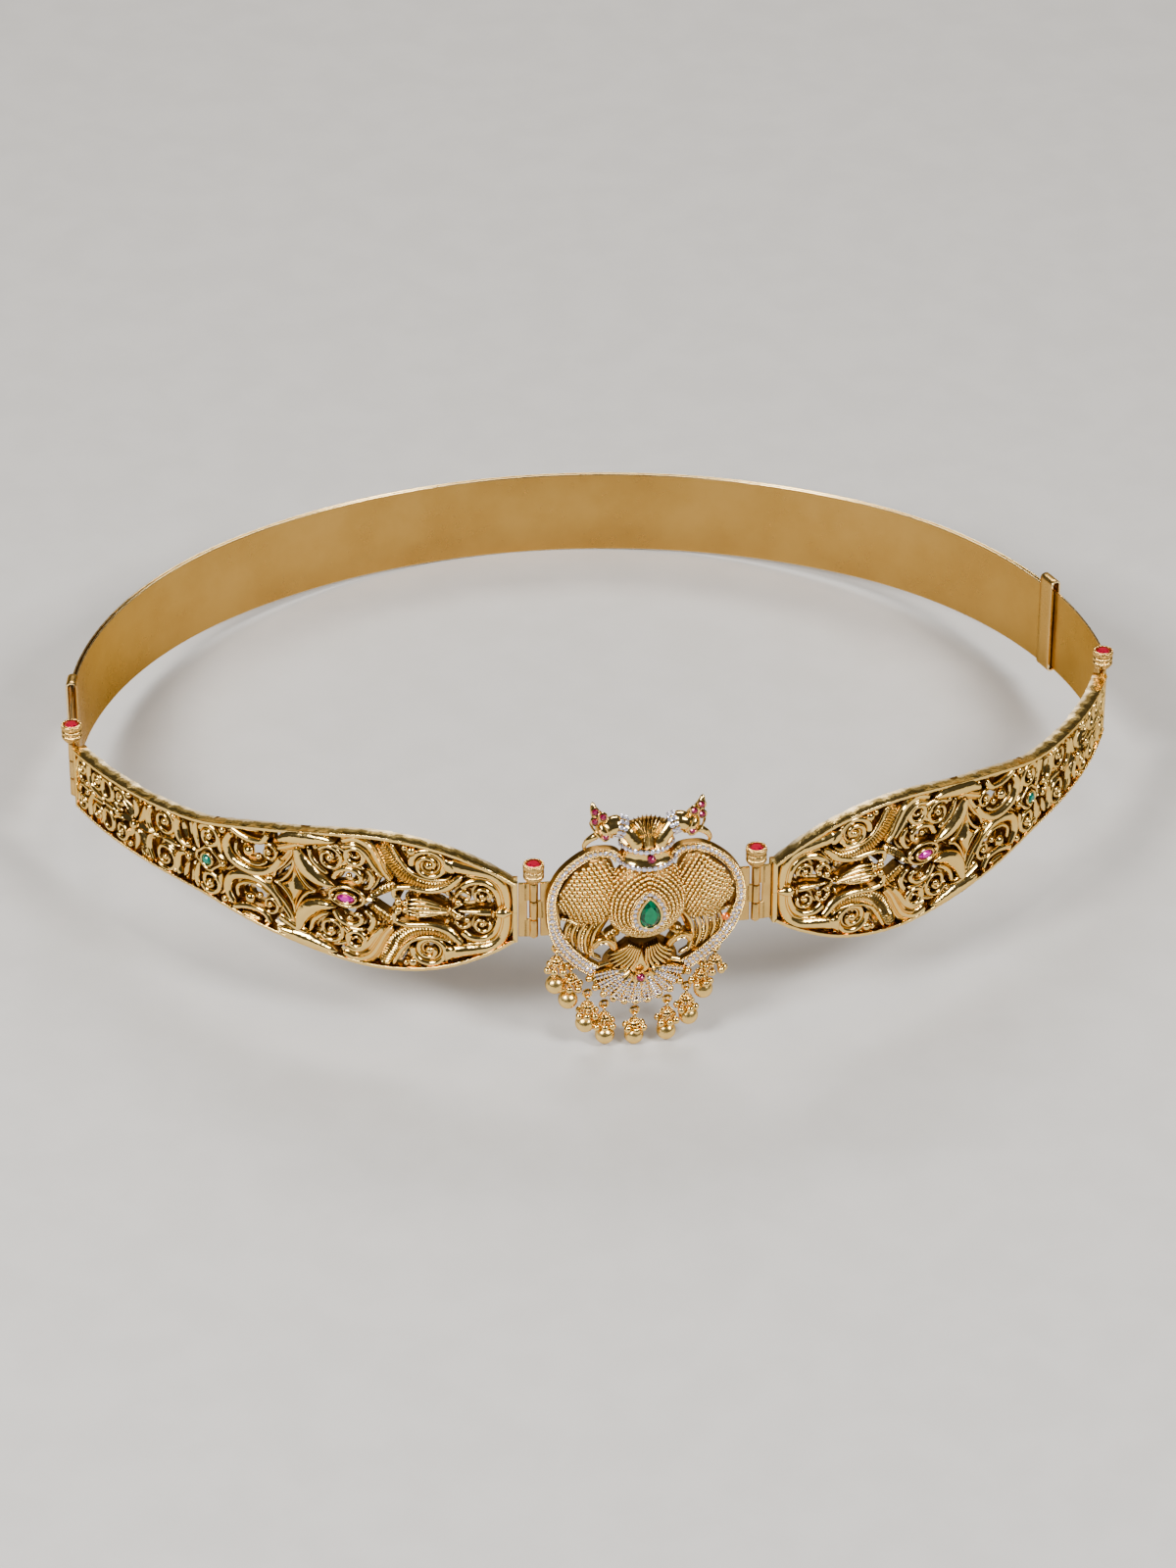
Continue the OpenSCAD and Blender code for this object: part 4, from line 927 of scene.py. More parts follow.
def panel_middle():
    """What lies on the middle line of a panel."""
    r = Relief(1.15, 1.2)
    r.band([(19.6, 0), (16.0, 0), (13.0, 0), (10.4, 0)], (0.5, 0.9, 1.7, 1.9), (1.9, 2.3, 2.7, 2.7))
    r.band([(10.4, -1.2), (10.4, 1.2)], 0.6, 2.9)
    r.band([(10.2, 0), (9.3, 0), (8.2, 0), (6.9, 0), (5.2, 0)], (1.8, 2.8, 3.0, 1.7, 0.3), (2.7, 3.2, 3.3, 2.6, 1.7),
           end="point")
    for turn in (-1, 1):
        r.band([(17.9, 2.2 * turn), (20.2, 0.9 * turn), (22.6, -1.0 * turn)], 0.6, 1.6)
    # Fluted bud with its bead clasp.
    r.petal([(32.6, 0), (28.4, 0), (24.6, 0), (21.0, 0)], 1.3, 2.6, ROUND)
    for z in (-1, 1):
        r.petal([(32.8, 0.9 * z), (29.6, 1.3 * z), (25.6, 1.1 * z), (21.4, 0.3 * z)], 1.2, 2.4, ROUND)
        r.petal([(32.6, 2.2 * z), (29.8, 2.4 * z), (26.4, 1.9 * z), (22.6, 0.6 * z)], 1.1, 2.1, ROUND)
        r.ball((33.3, 1.05 * z), 0.85, 1.7)
        r.ball((35.1, 1.15 * z), 0.95, 1.7)
    r.band([(32.6, -2.9), (33.0, 0), (32.6, 2.9)], 0.7, 2.0)
    # Pointed seat of the pink stone.
    eye = oval(PINK_AT, 0, 4.9, 2.9, 28, 0.26, (-0.04, 0))
    r.dome(eye, (PINK_AT, 0), REAR, 0.2, 0.6, rings=2, tone=(0.1, 0.1))
    r.band(eye, 0.9, 1.9, closed=True)
    r.band(oval(PINK_AT, 0, 2.75, 1.55, 24, 0.2), 0.6, 2.6, -1.0, closed=True)
    for side in (-1, 1):
        r.ball((PINK_AT + side * 3.9, 0), 0.45, 1.7)
    r.petal([(41.6, 0), (43.0, 0), (44.6, 0)], 1.3, 1.6)
    # Star with hollow sides inside a lined frame.
    star = []
    for v in turns(48):
        q = (abs(math.cos(v)) ** 0.66 + abs(math.sin(v)) ** 0.66) ** -1.515
        star.append((4.1 * q * math.cos(v), 7.3 * q * math.sin(v)))
    r.dome([(STAR_AT + x, z) for x, z in star], (STAR_AT, 0), REAR, 1.1, 3.2, power=0.8, rings=6, tone=(0.5, 1))
    r.band([(STAR_AT + x * 1.42, z * 1.16) for x, z in star], 0.8, 1.9, closed=True)
    r.dome([(STAR_AT + x * 1.4, z * 1.14) for x, z in star], (STAR_AT, 0), REAR, 0.2, 0.5, rings=2, tone=(0.05, 0.1))
    # Beads and leaves between the star and the green stone.
    r.ball((71.6, 0), 1.1, 1.3)
    r.ball((86.1, 0), 0.9, 1.3)
    eye = oval(GREEN_AT, 0, 3.7, 3.1, 32, 0, (0.1, 0.1))
    r.dome(eye, (GREEN_AT, 0), REAR, 0.6, 1.0, rings=2, tone=(0.15, 0.15))
    r.band(eye, 0.8, 1.8, closed=True)
    r.band(oval(GREEN_AT, 0, 1.85, 1.85, 24), 0.6, 2.5, -1.0, closed=True)
    for side in (-1, 1):
        r.petal([(95.0, 0.5 * side), (96.6, 1.1 * side), (98.4, 0.6 * side)], 1.0, 1.6)
        r.petal([(88.0, 2.4 * side), (86.6, 1.8 * side), (85.0, 0.9 * side)], 1.0, 1.5)
    r.ball((99.6, 0), 0.8, 1.3)
    r.petal([(107.6, 0), (104.0, 0), (100.8, 0)], 1.5, 1.8, ROUND)
    r.ball((109.4, 0), 0.7, 1.1)
    # Cross of leaves.
    r.petal([(117.4, 0), (114.6, 0), (111.6, 0)], 2.3, 2.3)
    r.petal([(118.6, 0), (121.2, 0), (124.4, 0)], 2.3, 2.3)
    r.ball((118.0, 0), 1.2, 2.0)
    r.ball((126.0, 0), 0.9, 1.4)
    r.petal([(127.4, 0), (129.6, 0), (132.2, 0)], 1.6, 1.9, ROUND)
    r.petal([(136.4, 0), (134.6, 0), (132.6, 0)], 1.2, 1.6, ROUND)
    r.ball((137.8, 0), 0.8, 1.3)
    r.petal([(139.4, 0), (141.4, 0), (143.6, 0)], 1.5, 1.9, ROUND)
    return r


upper = panel_upper_half()
ornament = upper.joined(upper.reflected(), panel_middle())
PINK_CUT = cut_stone(8, 5.1, 3.0, 0.9, 0.9, 0.55, seed=5, outline=lambda v: (
    2.45 * math.cos(v), 1.3 * math.sin(v) * (1 - 0.22 * abs(math.cos(v)) ** 3)))
GREEN_CUT = cut_stone(8, 3.2, 3.2, 0.8, 0.8, 0.55, seed=6)
for side, hand in SIDES:
    body = side + "_panel"
    points, faces, tones = ornament.laid(on_panel, hand)
    piece("openwork_" + side, points, faces, CAST, body, "ornament_gold", tones, instead=("panel_" + side,))
    pips = Spots(on_panel)
    for s in np.arange(96, 146, 0.95):
        pips.put((s, -upper_edge(s) + 0.62, 1.95), 0.34)
    grains("rim_pips_" + side, pips, body, (hand,), around=6, rows=4, seed=4)
    for name, cut, s, colour, slot, node in (
            ("pink_stone_", PINK_CUT, PINK_AT, PINK, "pink_stone", "marquise_"),
            ("green_cut_stone_", GREEN_CUT, GREEN_AT, TEAL, "green_stone", "green_stone_")):
        lone_stone(name + side, cut, (s, 0, 2.0), lambda p: on_panel(p, hand), colour, body, slot, node + side)


# Pendant

def swelling(x, z, middle, wide, tall, high):
    """Height of an egg-shaped swelling on the pendant's middle line."""
    return high * math.sqrt(max(1 - (x / wide) ** 2 - ((z - middle) / tall) ** 2, 0))


BELLY, THROAT = (2.6, 10.9, 12.2, 7.4), (12.6, 6.2, 6.2, 4.46)


def belly(x, z):
    """Height of the belly and of the throat above it."""
    return 0.6 + max(swelling(x, z, *BELLY), swelling(x, z, *THROAT))


def hollow(x, z):
    """Height of the hollow behind the belly."""
    return 0.3 + swelling(x, z, 3.1, 9.3, 10.7, 5.95)


def pear(v, grow):
    """Outline of the pear stone about its middle, widened by grow."""
    x = (3.45 + 1.12 * grow) * math.sin(v) * abs(math.sin(v / 2)) ** (0.62 / (1 + 0.35 * grow))
    z = (4.4 + grow * 1.05) * math.cos(v) - 0.35
    return np.array([x, z + 1.85])


WING_X, WING_Z = 15.2, 5.4


def shoulder(x, z):
    """Height of a wing's scaled shoulder."""
    across, up = x - WING_X, z - WING_Z
    q = (across / 8.6) ** 2 + (up / 10.6) ** 2 - 0.32 * across * up / 91
    return 1.15 + 3.3 * math.sqrt(max(1 - min(q, 1), 0))


SHOULDER = [(8.9, 12.9), (10.4, 14.7), (12.4, 15.2), (15.0, 14.5), (17.9, 12.6), (20.3, 10.0), (22.0, 7.0),
            (22.9, 3.6), (22.8, 0.4), (21.9, -1.7), (19.6, -2.6), (17.6, -4.3), (15.0, -3.4), (12.9, -4.4),
            (10.6, -2.6), (9.0, -0.6), (8.2, 3.0), (7.9, 7.0), (8.1, 10.4)]
BORDER = [(7.6, 14.2), (9.0, 15.9), (11.4, 16.4), (14.6, 16.1), (18.2, 14.0), (21.4, 11.0), (23.5, 7.4), (24.5, 3.2),
          (24.4, -1.2), (23.5, -5.6), (21.6, -9.8), (18.6, -13.6), (15.2, -16.8), (11.8, -19.2)]


def border_line(out=0.0, step=0.6):
    """The border's middle line and its width: one row wide and pushed out at the top, two rows wide lower down."""
    p, _ = curve(BORDER, step)
    low = np.clip((np.linspace(0, 1, len(p)) - 0.52) / 0.22, 0, 1)
    low = low * low * (3 - 2 * low)
    width = 1.9 + 1.0 * low
    way = heading(p)
    return p + np.stack([-way[:, 1], way[:, 0]], 1) * (0.45 * (1 - low) + out * width / 2)[:, None], width


def inside(x, z, outline):
    """Whether a point lies inside a closed outline."""
    hit, n = False, len(outline)
    for i in range(n):
        (a, b), (c, d) = outline[i], outline[(i + 1) % n]
        if (b > z) != (d > z) and x < (c - a) * (z - b) / (d - b) + a:
            hit = not hit
    return hit


def smooth(outline):
    """A closed outline rounded through its points."""
    o = np.asarray(outline, float)
    p, _ = curve(np.vstack([o, o[:1]]), 0.8)
    return p[:-1, :2]


SHOULDER_RIM = smooth([(x + 0.06 * max(x - WING_X, 0), z + 0.05 * max(z - WING_Z, 0)) for x, z in SHOULDER])


def bowl(r, outline, centre, outer, inner, foot):
    """A swelling with its own hollow behind, closed along a rim about 1.3 mm wide."""
    o, c = np.asarray(outline, float), np.asarray(centre, float)
    def face(height, low, share):
        rows = []
        for q in np.sin(np.linspace(np.pi / 2, 0, 10))[:-1]:
            flat = c + (o - c) * q * share
            rows.append(np.column_stack([flat, [max(height(x, z), low) for x, z in flat]]))
        return rows + [np.column_stack([c + (o - c) * 0.02, np.full(len(o), height(*c))])]
    # Both faces of the bowl are painted dark as shade.
    r.rings(face(outer, foot, 1)[::-1] + face(inner, foot - 0.05, 1 - 1.3 / 11), 0.02)


CREST = [(11.9, 29.4, 5.0), (14.0, 28.1, 4.8), (13.9, 30.6, 4.2)]
EYE = (11.4, 23.9, 5.75)


def bird():
    """One half of the pendant's metal, laid once for each hand."""
    r = Relief()
    # Shoulder of the wing with a plain skirt under the scales, both painted dark as the shade between the scales.
    r.dome(SHOULDER_RIM, (15.4, WING_Z), 0.0, 1.0, 4.3, rings=8, tone=(0.02, 0.02), height=shoulder)
    # Border that carries the stones, with milled edges.
    line, width = border_line()
    r.band(line, list(width), (2.6, 2.3), 0.0, FLAT, step=0.6)
    for out in (-1.08, 1.08):
        r.band(border_line(out, 0.5)[0], 0.5, 2.75, 0.1, ribs=(0.62, 0.3, 0), step=0.5)
    # Long feathers: smooth and beaded lines in turn, running to the border.
    for k in range(9):
        t = k / 8
        root, foot = np.array([9.6 + 9.4 * t, -2.2 - 0.9 * t]), np.array([12.4 + 7.6 * t, -15.6 + 5.2 * t])
        bend = np.array([1.9 - 0.9 * t, 0.6])
        line = [root, root * 0.68 + foot * 0.32 + bend * 0.9, root * 0.33 + foot * 0.67 + bend, foot]
        if k % 2:
            r.band(line, (0.75, 0.6), 1.9, 0.3, ribs=(0.72, 0.5, 0))
        else:
            r.band(line, (1.0, 0.75), 2.25, 0.2, end="point")
    r.band([(9.2, -2.4), (11.6, -7.4), (13.2, -12.0), (14.4, -16.2)], 1.3, 1.6, 0.2, KEEL)
    # Rim of scallops between scales and feathers.
    r.band([(9.2, -1.2), (11.0, -3.1), (13.2, -4.3), (15.1, -3.6), (17.4, -4.4), (19.8, -2.9), (22.6, -1.9)], 0.8,
           3.0, 0.2, ribs=(0.7, 0.35, 0))
    # Leg: ribbed thigh and an arched shank that ends on the wing.
    r.band([(6.6, -6.6), (8.4, -7.6), (10.2, -8.9)], (2.6, 2.2), (4.2, 3.4), 0.2, ribs=(0.95, 0.6, 0))
    r.band([(7.0, -13.6), (7.9, -10.9), (9.9, -9.4), (12.0, -10.0), (13.0, -12.4)], (1.6, 2.2, 2.3, 2.0, 1.5),
           (2.6, 3.6, 3.6, 2.6), 0.0, TRIPLE)
    r.band([(10.3, -16.4), (12.6, -14.9), (15.2, -13.2)], 1.2, 1.5, 0.2)
    r.band([(6.2, -16.8), (8.0, -17.6), (10.4, -18.3), (12.4, -18.8)], (2.2, 1.2), 1.5, 0.1)
    # Hair-fine flutes of the skirt.
    ends = [(3.0, -20.4), (4.6, -20.1), (6.0, -19.5), (7.2, -18.6), (8.1, -17.5), (8.6, -16.2), (8.7, -14.7)]
    for k, last in enumerate(ends):
        r.band([(0.8 + 0.5 * k, -11.9 + 0.22 * k), (1.1 + 0.62 * k, -14.2 + 0.36 * k),
                (1.5 + 0.8 * k, -17 + 0.62 * k), last], (0.55, 0.8, 1.15), (4.4, 3.6, 2.6), 0.2, end="point")
    # Neck and head.
    tube(r, [(2.4, 18.6, 4.6), (3.3, 20.8, 4.4), (4.7, 23.0, 3.8), (6.6, 24.9, 3.1), (8.6, 25.7, 3.0)],
         (1.9, 1.95, 2.05, 2.2, 2.4), around=24)
    tube(r, [(6.4, 24.9, 3.0), (8.2, 25.6, 3.0), (9.8, 25.3, 3.1), (11.6, 24.7, 3.2), (13.6, 23.9, 3.2)],
         (2.1, 2.7, 2.45, 3.15, 2.6), around=28)
    tube(r, [(12.9, 23.4, 3.6), (14.5, 22.5, 3.4), (15.8, 21.2, 3.0), (16.5, 19.6, 2.5), (16.2, 17.8, 1.9)],
         (1.1, 0.95, 0.8, 0.6, 0.25), around=14)
    for x, z, w in ((10.6, 25.4, 6.3), (12.8, 24.0, 6.2)):
        ring(r, (x, z, 3.0), (0.75, -0.66, 0) if x > 12 else (0.9, -0.4, 0), w / 2, 0.35)
    # Crest: stalk, three cups and a tip.
    tube(r, [(10.8, 27.0, 3.2), (12.4, 28.4, 3.6), (13.4, 29.4, 3.4), (14.1, 31.0, 3.0), (14.4, 32.8, 2.7)],
         (1.2, 1.4, 1.5, 1.0, 0.35))
    for x, z, o in CREST:
        r.ball((x, z), 1.2, o - 0.55, squash=0.75)
        ring(r, (x, z, o + 0.1), (0, 0, 1), 1.05, 0.26)
    ring(r, EYE, (0.15, 0.1, 1), 1.05, 0.26)
    return r


def frame_of(way):
    """A direction of unit length and two more that stand square on it."""
    way = np.asarray(way, float) / np.linalg.norm(way)
    side = np.cross(way, (0, 0, 1) if abs(way[2]) < 0.9 else (0, 1, 0))
    side /= np.linalg.norm(side)
    return way, side, np.cross(side, way)


def tube(r, path, radii, around=18):
    """A round limb through points of the relief space, closed to a point at both ends."""
    path = np.asarray(path, float)
    at = walked(path)
    fine, _ = curve(path, 0.45)
    way = walked(fine)
    size = np.interp(way / way[-1], at / at[-1], radii)
    size = size * (rounded(way / size[0]) * rounded((way[-1] - way) / size[-1]))
    a = turns(around)
    rows = []
    for p, w, s in zip(fine, np.gradient(fine, axis=0), size):
        _, side, up = frame_of(w)
        rows.append(p + s * (np.cos(a)[:, None] * side + np.sin(a)[:, None] * up))
    r.rings(rows, 0.8)


def ring(r, centre, axis, radius, thick, around=28, sides=8):
    """A round wire ring."""
    axis, side, up = frame_of(axis)
    a = turns(sides)
    rows = []
    for v in turns(around):
        out = math.cos(v) * side + math.sin(v) * up
        wire = np.cos(a)[:, None] * out + np.sin(a)[:, None] * axis
        rows.append(np.asarray(centre) + radius * out + thick * wire)
    r.rings(rows, 1.0, closed=True)


# Height of the tail's root, degrees between two plumes, and how far out the lugs of the drops stand.
TAIL_ROOT, PLUME_TURN, LUG_OUT = -17.4, 14.5, 1.6
# Lug across and up, sideways shift of the ball, length from lug to ball.
DROPS = [(-22.6, -11.4, -0.4, 11.4), (-18.3, -17.2, -0.8, 10.6), (-13.2, -26.2, -0.6, 9.4), (-8.4, -29.9, 0.2, 9.8),
         (0, -32.6, -0.2, 7.8), (8.4, -29.9, -0.2, 9.9), (13.2, -26.2, 0.6, 9.4), (16.4, -18.7, 0.6, 9.0),
         (19.8, -14.8, 0.4, 0)]


def bird_middle():
    """What lies on the middle line of the pendant, and the lugs of the drops."""
    r = Relief()
    v = turns(64)
    around = lambda middle, wide, tall, _: np.column_stack([wide * np.sin(v), middle + tall * np.cos(v)])
    # Belly and throat are painted dark as the shade between their beads.
    bowl(r, around(*BELLY), (0, BELLY[0]), lambda x, z: 0.6 + swelling(x, z, *BELLY), hollow, 0.6)
    r.dome(around(*THROAT), (0, THROAT[0]), 0.5, 0.6, 5, tone=(0.02, 0.02),
           height=lambda x, z: 0.6 + swelling(x, z, *THROAT))
    # Collar: two round rows with a plain hollow between them.
    rows = []
    profile = [(13.1, 6.9), (13.2, 7.5), (13.7, 7.8), (14.3, 7.75), (14.9, 7.3), (15.4, 6.9), (16.6, 6.6),
               (17.7, 6.7), (18.1, 7.0), (18.5, 7.3), (19.1, 7.3), (19.6, 6.9), (19.7, 6.3), (19.7, 4.6), (13.1, 4.6)]
    for a in np.radians(np.linspace(-90, 90, 41)):
        rows.append([(q * math.sin(a), z + 0.5 * abs(math.sin(a)) ** 2, 0.5 + 0.88 * q * math.cos(a))
                     for z, q in profile])
    r.rings(rows, 0.8)
    # Fan of flutes between the necks.
    for k in range(-4, 5):
        s = k / 4
        r.band([(0.2 * k, 19.5), (0.34 * k, 21.8), (0.78 * k, 24.6), (1.16 * k, 27.2 - 1.4 * s * s)], (0.5, 0.7, 1.5),
               (6.6, 5.6 - 1.2 * abs(s), 4.6 - 1.3 * abs(s)), 1.4, end="point")
    # Ground behind the flutes, painted dark as shade.
    r.dome([(-3.4, 20), (3.4, 20), (4.6, 23), (4.6, 25.4), (0, 26.4), (-4.6, 25.4), (-4.6, 23)], (0, 23.4), 0.9, 1.8,
           3.4, rings=4, tone=(0.02, 0.05))
    # Plate, bezel and rim of the pear stone.
    def plate(grow, low, high, width, ribs=None):
        r.band([tuple(pear(u, grow)) for u in turns(48)], width, high, low, ROUND if ribs else FLAT, closed=True,
               ribs=ribs)
    plate(0.85, 5.2, 8.15, 1.9)
    plate(0.1, 5.6, 9.1, 0.5)
    plate(1.78, 5.0, 8.3, 0.45, (0.6, 0.3, 0))
    # Triangle of the skirt, its bezel, and the apron behind, which is painted dark as shade.
    r.dome(smooth([(0, -11.6), (1.0, -15), (2.7, -19.4), (0, -20.8), (-2.7, -19.4), (-1.0, -15)]), (0, -17.2), 0.2,
           2.2, 3.2, rings=4, tone=(0.6, 0.9))
    r.dome(smooth([(-4.4, -10.2), (4.4, -10.2), (9.6, -15.4), (8.4, -19.4), (0, -22), (-8.4, -19.4), (-9.6, -15.4)]),
           (0, -16), 0.1, 0.7, 1.9, rings=3, tone=(0.02, 0.05))
    r.ball((0, -20.4), 1.7, 4.3, squash=0.7)
    ring(r, (0, -20.4, 5.1), (0, 0, 1), 1.35, 0.3)
    # Tail plumes.
    for k in range(-5, 6):
        a = math.radians(-90 + PLUME_TURN * k)
        way = np.array([math.cos(a), math.sin(a)])
        root = np.array([0, TAIL_ROOT])
        far = 12.6 + 0.06 * k * k
        line = [root + way * 3.4, root + way * 7.5, root + way * far]
        r.band(line, (1.3, 3.0), (3.3, 2.3 - 0.25 * (k % 2)), 0.2, SPOON)
        r.ball(tuple(root + way * (far - 0.3)), 1.0, 1.8)
    # Lugs of the drops.
    for x, z, _, _ in DROPS:
        ring(r, (x, z, LUG_OUT), (0, 0, 1), 1.0, 0.42, around=24)
    return r


points, faces, tones = bird().laid(on_pendant, 1, -1)
more_points, more_faces, more_tones = bird_middle().laid(on_pendant, 1)
faces += [[len(points) + i for i in face] for face in more_faces]
piece("bird_pendant", np.vstack([points, more_points]), faces, CAST, "pendant", "ornament_gold",
      np.concatenate([tones, more_tones]), instead=("pendant_setting",))


def slope(height, x, z):
    """Outward direction of a height field."""
    e = 0.05
    n = np.array([-(height(x + e, z) - height(x - e, z)) / (2 * e), -(height(x, z + e) - height(x, z - e)) / (2 * e),
                  1.0])
    return n / np.linalg.norm(n)


# Way between two rings of beads, and between two beads of a ring.
BEAD_ROWS, BEAD_PITCH = 1.16, 1.24


def belly_grains():
    """Beads in rings round the pear stone, spaced along the swelling."""
    spots = Spots(on_pendant)
    rings = [[] for _ in range(24)]
    for v in turns(180):
        start = pear(v, 2.35)
        out = start - np.array([0, 1.2])
        out /= np.linalg.norm(out)
        d, gone, last, k = 0.0, 0.0, belly(*start), 0
        rings[0].append((*start, last))
        while k < 23 and d < 21:
            d += 0.06
            x, z = start + out * d
            h = belly(x, z)
            gone += math.hypot(0.06, h - last)
            last = h
            if gone >= BEAD_ROWS:
                gone, k = 0.0, k + 1
                rings[k].append((x, z, h))
            if h <= 0.65:
                break
        for j in range(k + 1, 24):
            rings[j].append(None)
    for k, row in enumerate(rings):
        run = 0.5 * (k % 2)
        for a, b in zip(row, row[1:] + row[:1]):
            if a is None or b is None:
                run = 0.5 * (k % 2)
                continue
            a, b = np.array(a), np.array(b)
            gap = np.linalg.norm(b - a)
            while run < gap:
                p = a + (b - a) * run / gap
                if p[2] > 1.0 and (p[1] < 13.4 or abs(p[0]) > 7.0):
                    spots.put((p[0], p[1], belly(p[0], p[1]) - 0.06), 1.0, slope(belly, p[0], p[1]), (b - a) / gap)
                run += BEAD_PITCH
            run -= gap
    return spots


grains("belly_grains", belly_grains(), "pendant", shape=(0.68, 0.55, 0.53), seed=11)


def wing_grains(hand):
    """Oblique rows of scales; the right wing's inner scales are finer."""
    spots = Spots(on_pendant)
    rim = [((a - WING_X) * 0.965 + WING_X, (b - WING_Z) * 0.965 + WING_Z) for a, b in SHOULDER_RIM]
    flow = np.array([math.cos(math.radians(62)), math.sin(math.radians(62))])
    side = np.array([-flow[1], flow[0]])
    step = 1.3
    for row, s in enumerate(np.arange(-16, 16, 1.1), 1):
        t = -16.0 + (row % 2) * step / 2
        while t < 16:
            x, z = np.array([WING_X, WING_Z]) + side * s + flow * t
            bend = 0.035 * (t ** 2) * 0.35
            x += -bend * side[0] * 0.6
            z += -bend * side[1] * 0.6
            fine = 0.8 if hand == 1 and x < 14.2 else 1.0
            if inside(x, z, rim):
                spots.put((x, z, shoulder(x, z) - 0.05), fine, slope(shoulder, x, z), (*flow, 0))
            t += step * (0.82 if fine < 1 else 1)
    return spots


for side, hand in SIDES:
    grains("wing_scales_" + side, wing_grains(hand), "pendant", (hand,), shape=(0.8, 0.62, 0.6), seed=12 + hand)


def round_pear(grow, count, turn):
    """Even places on the pear's outline, widened by grow."""
    outline = np.array([pear(u, grow) for u in np.linspace(0, 2 * np.pi, 361)])
    at = walked(outline)
    return [[np.interp(at[-1] * (k + turn) / count, at, v) for v in outline.T] for k in range(count)]


PEAR_CUT = cut_stone(10, 5.8, 8.6, 1.0, 1.6, 0.62, lambda a: pear(np.pi / 2 - a, -0.1) - np.array([0, 1.5]), seed=8)
lone_stone("pear_green_stone", PEAR_CUT, (0, 1.5, 8.8), on_pendant, GREEN, "pendant", "green_stone", "pear_stone")
halo, beads = Spots(on_pendant), Spots(on_pendant)
for x, z in round_pear(0.9, 19, 0.0):
    halo.put((x, z, 8.25), 1.0)
for x, z in round_pear(1.5, 44, 0.25):
    beads.put((x, z, 8.35), 0.2)
set_stones("pear_white_stones", halo, 1.26, "pendant", instead=("pear_halo",), seed=3)
grains("pear_prongs", beads, "pendant", around=6, rows=4, seed=3)


def along_path(path, pitch, start, end):
    """Points on a path at an even pitch, each with the path's direction and its share of the way."""
    line, _ = curve(path, 0.25)
    way = heading(line)
    at = walked(line)
    return [(*(np.interp(s, at, v) for v in (*line.T, *way.T)), s / at[-1])
            for s in np.arange(start, at[-1] - end, pitch)]


prongs = Spots(on_pendant)
border_stones = Spots(on_pendant)
for out, start, first, last in ((0.0, 0.7, 0.0, 0.6), (0.46, 0.9, 0.6, 1.1), (-0.46, 1.5, 0.6, 1.1)):
    for x, z, dx, dz, share in along_path(border_line(out, 0.5)[0], 1.3, start, 0.5):
        if not first <= share < last:
            continue
        border_stones.put((x, z, 2.62 - 0.3 * share), 1.0, (0, 0, 1), (dx, dz, 0))
        for a, b in ((0.65, 0.58), (0.65, -0.58)):
            prongs.put((x + dx * a - dz * b, z + dz * a + dx * b, 2.68 - 0.3 * share), 0.31)
for side, hand in SIDES:
    set_stones("border_stones_" + side, border_stones, 1.16, "pendant", (hand,), ("wing_stones_" + side,), 20 + hand)

tail = Spots(on_pendant)
for k in range(-5, 6):
    a = math.radians(-90 + PLUME_TURN * k)
    c, s = math.cos(a), math.sin(a)
    for d in np.arange(5.4, 11.7, 1.04):
        if d < 6 and k % 2:
            continue
        for row in ((0,) if d < 6.6 else (-1, 1)):
            w = row * (0.42 + 0.035 * (d - 6))
            tail.put((d * c - w * s, TAIL_ROOT + d * s + w * c, 3.0 - 0.1 * (d - 5) - 0.12 * (k % 2)), 1.0, (0, 0, 1),
                     (c, s, 0))
            for e in (0, row * 0.56) if row else (-0.56, 0.56):
                prongs.put(((d + 0.52) * c - (w + e) * s, TAIL_ROOT + (d + 0.52) * s + (w + e) * c,
                            3.03 - 0.1 * (d - 5)), 0.24)
set_stones("tail_white_stones", tail, 0.96, "pendant", instead=("tail_stones",), seed=31)
grains("stone_prongs", prongs, "pendant", (1, -1), around=6, rows=4, seed=32)

collar = Spots(on_pendant)
for z, q, count in ((14.05, 7.85, 15), (18.85, 7.4, 14)):
    for a in np.radians(np.linspace(-76, 76, count)):
        collar.put((q * math.sin(a), z + 0.5 * math.sin(a) ** 2, 0.5 + 0.88 * q * math.cos(a)), 1.0,
                   (math.sin(a), 0.12, math.cos(a)), (math.cos(a), 0, -math.sin(a)))
set_stones("collar_white_stones", collar, 1.4, "pendant", instead=("collar_stones",), seed=33)

throat = Spots(on_pendant)
for centre, axis in (((6.4, 24.8, 2.9), (0.9, 0.35, 0)), ((7.5, 25.3, 2.9), (0.9, 0.3, 0))):
    way, side, up = frame_of(axis)
    for a in np.radians(np.arange(-70, 111, 30)):
        out = math.cos(a) * np.array([0, 0, 1.0]) + math.sin(a) * np.array([-way[1], way[0], 0])
        throat.put(tuple(np.array(centre) + 2.95 * out), 1.0, out, way)
set_stones("neck_white_stones", throat, 1.25, "pendant", (1, -1), ("neck_stones",), 34)

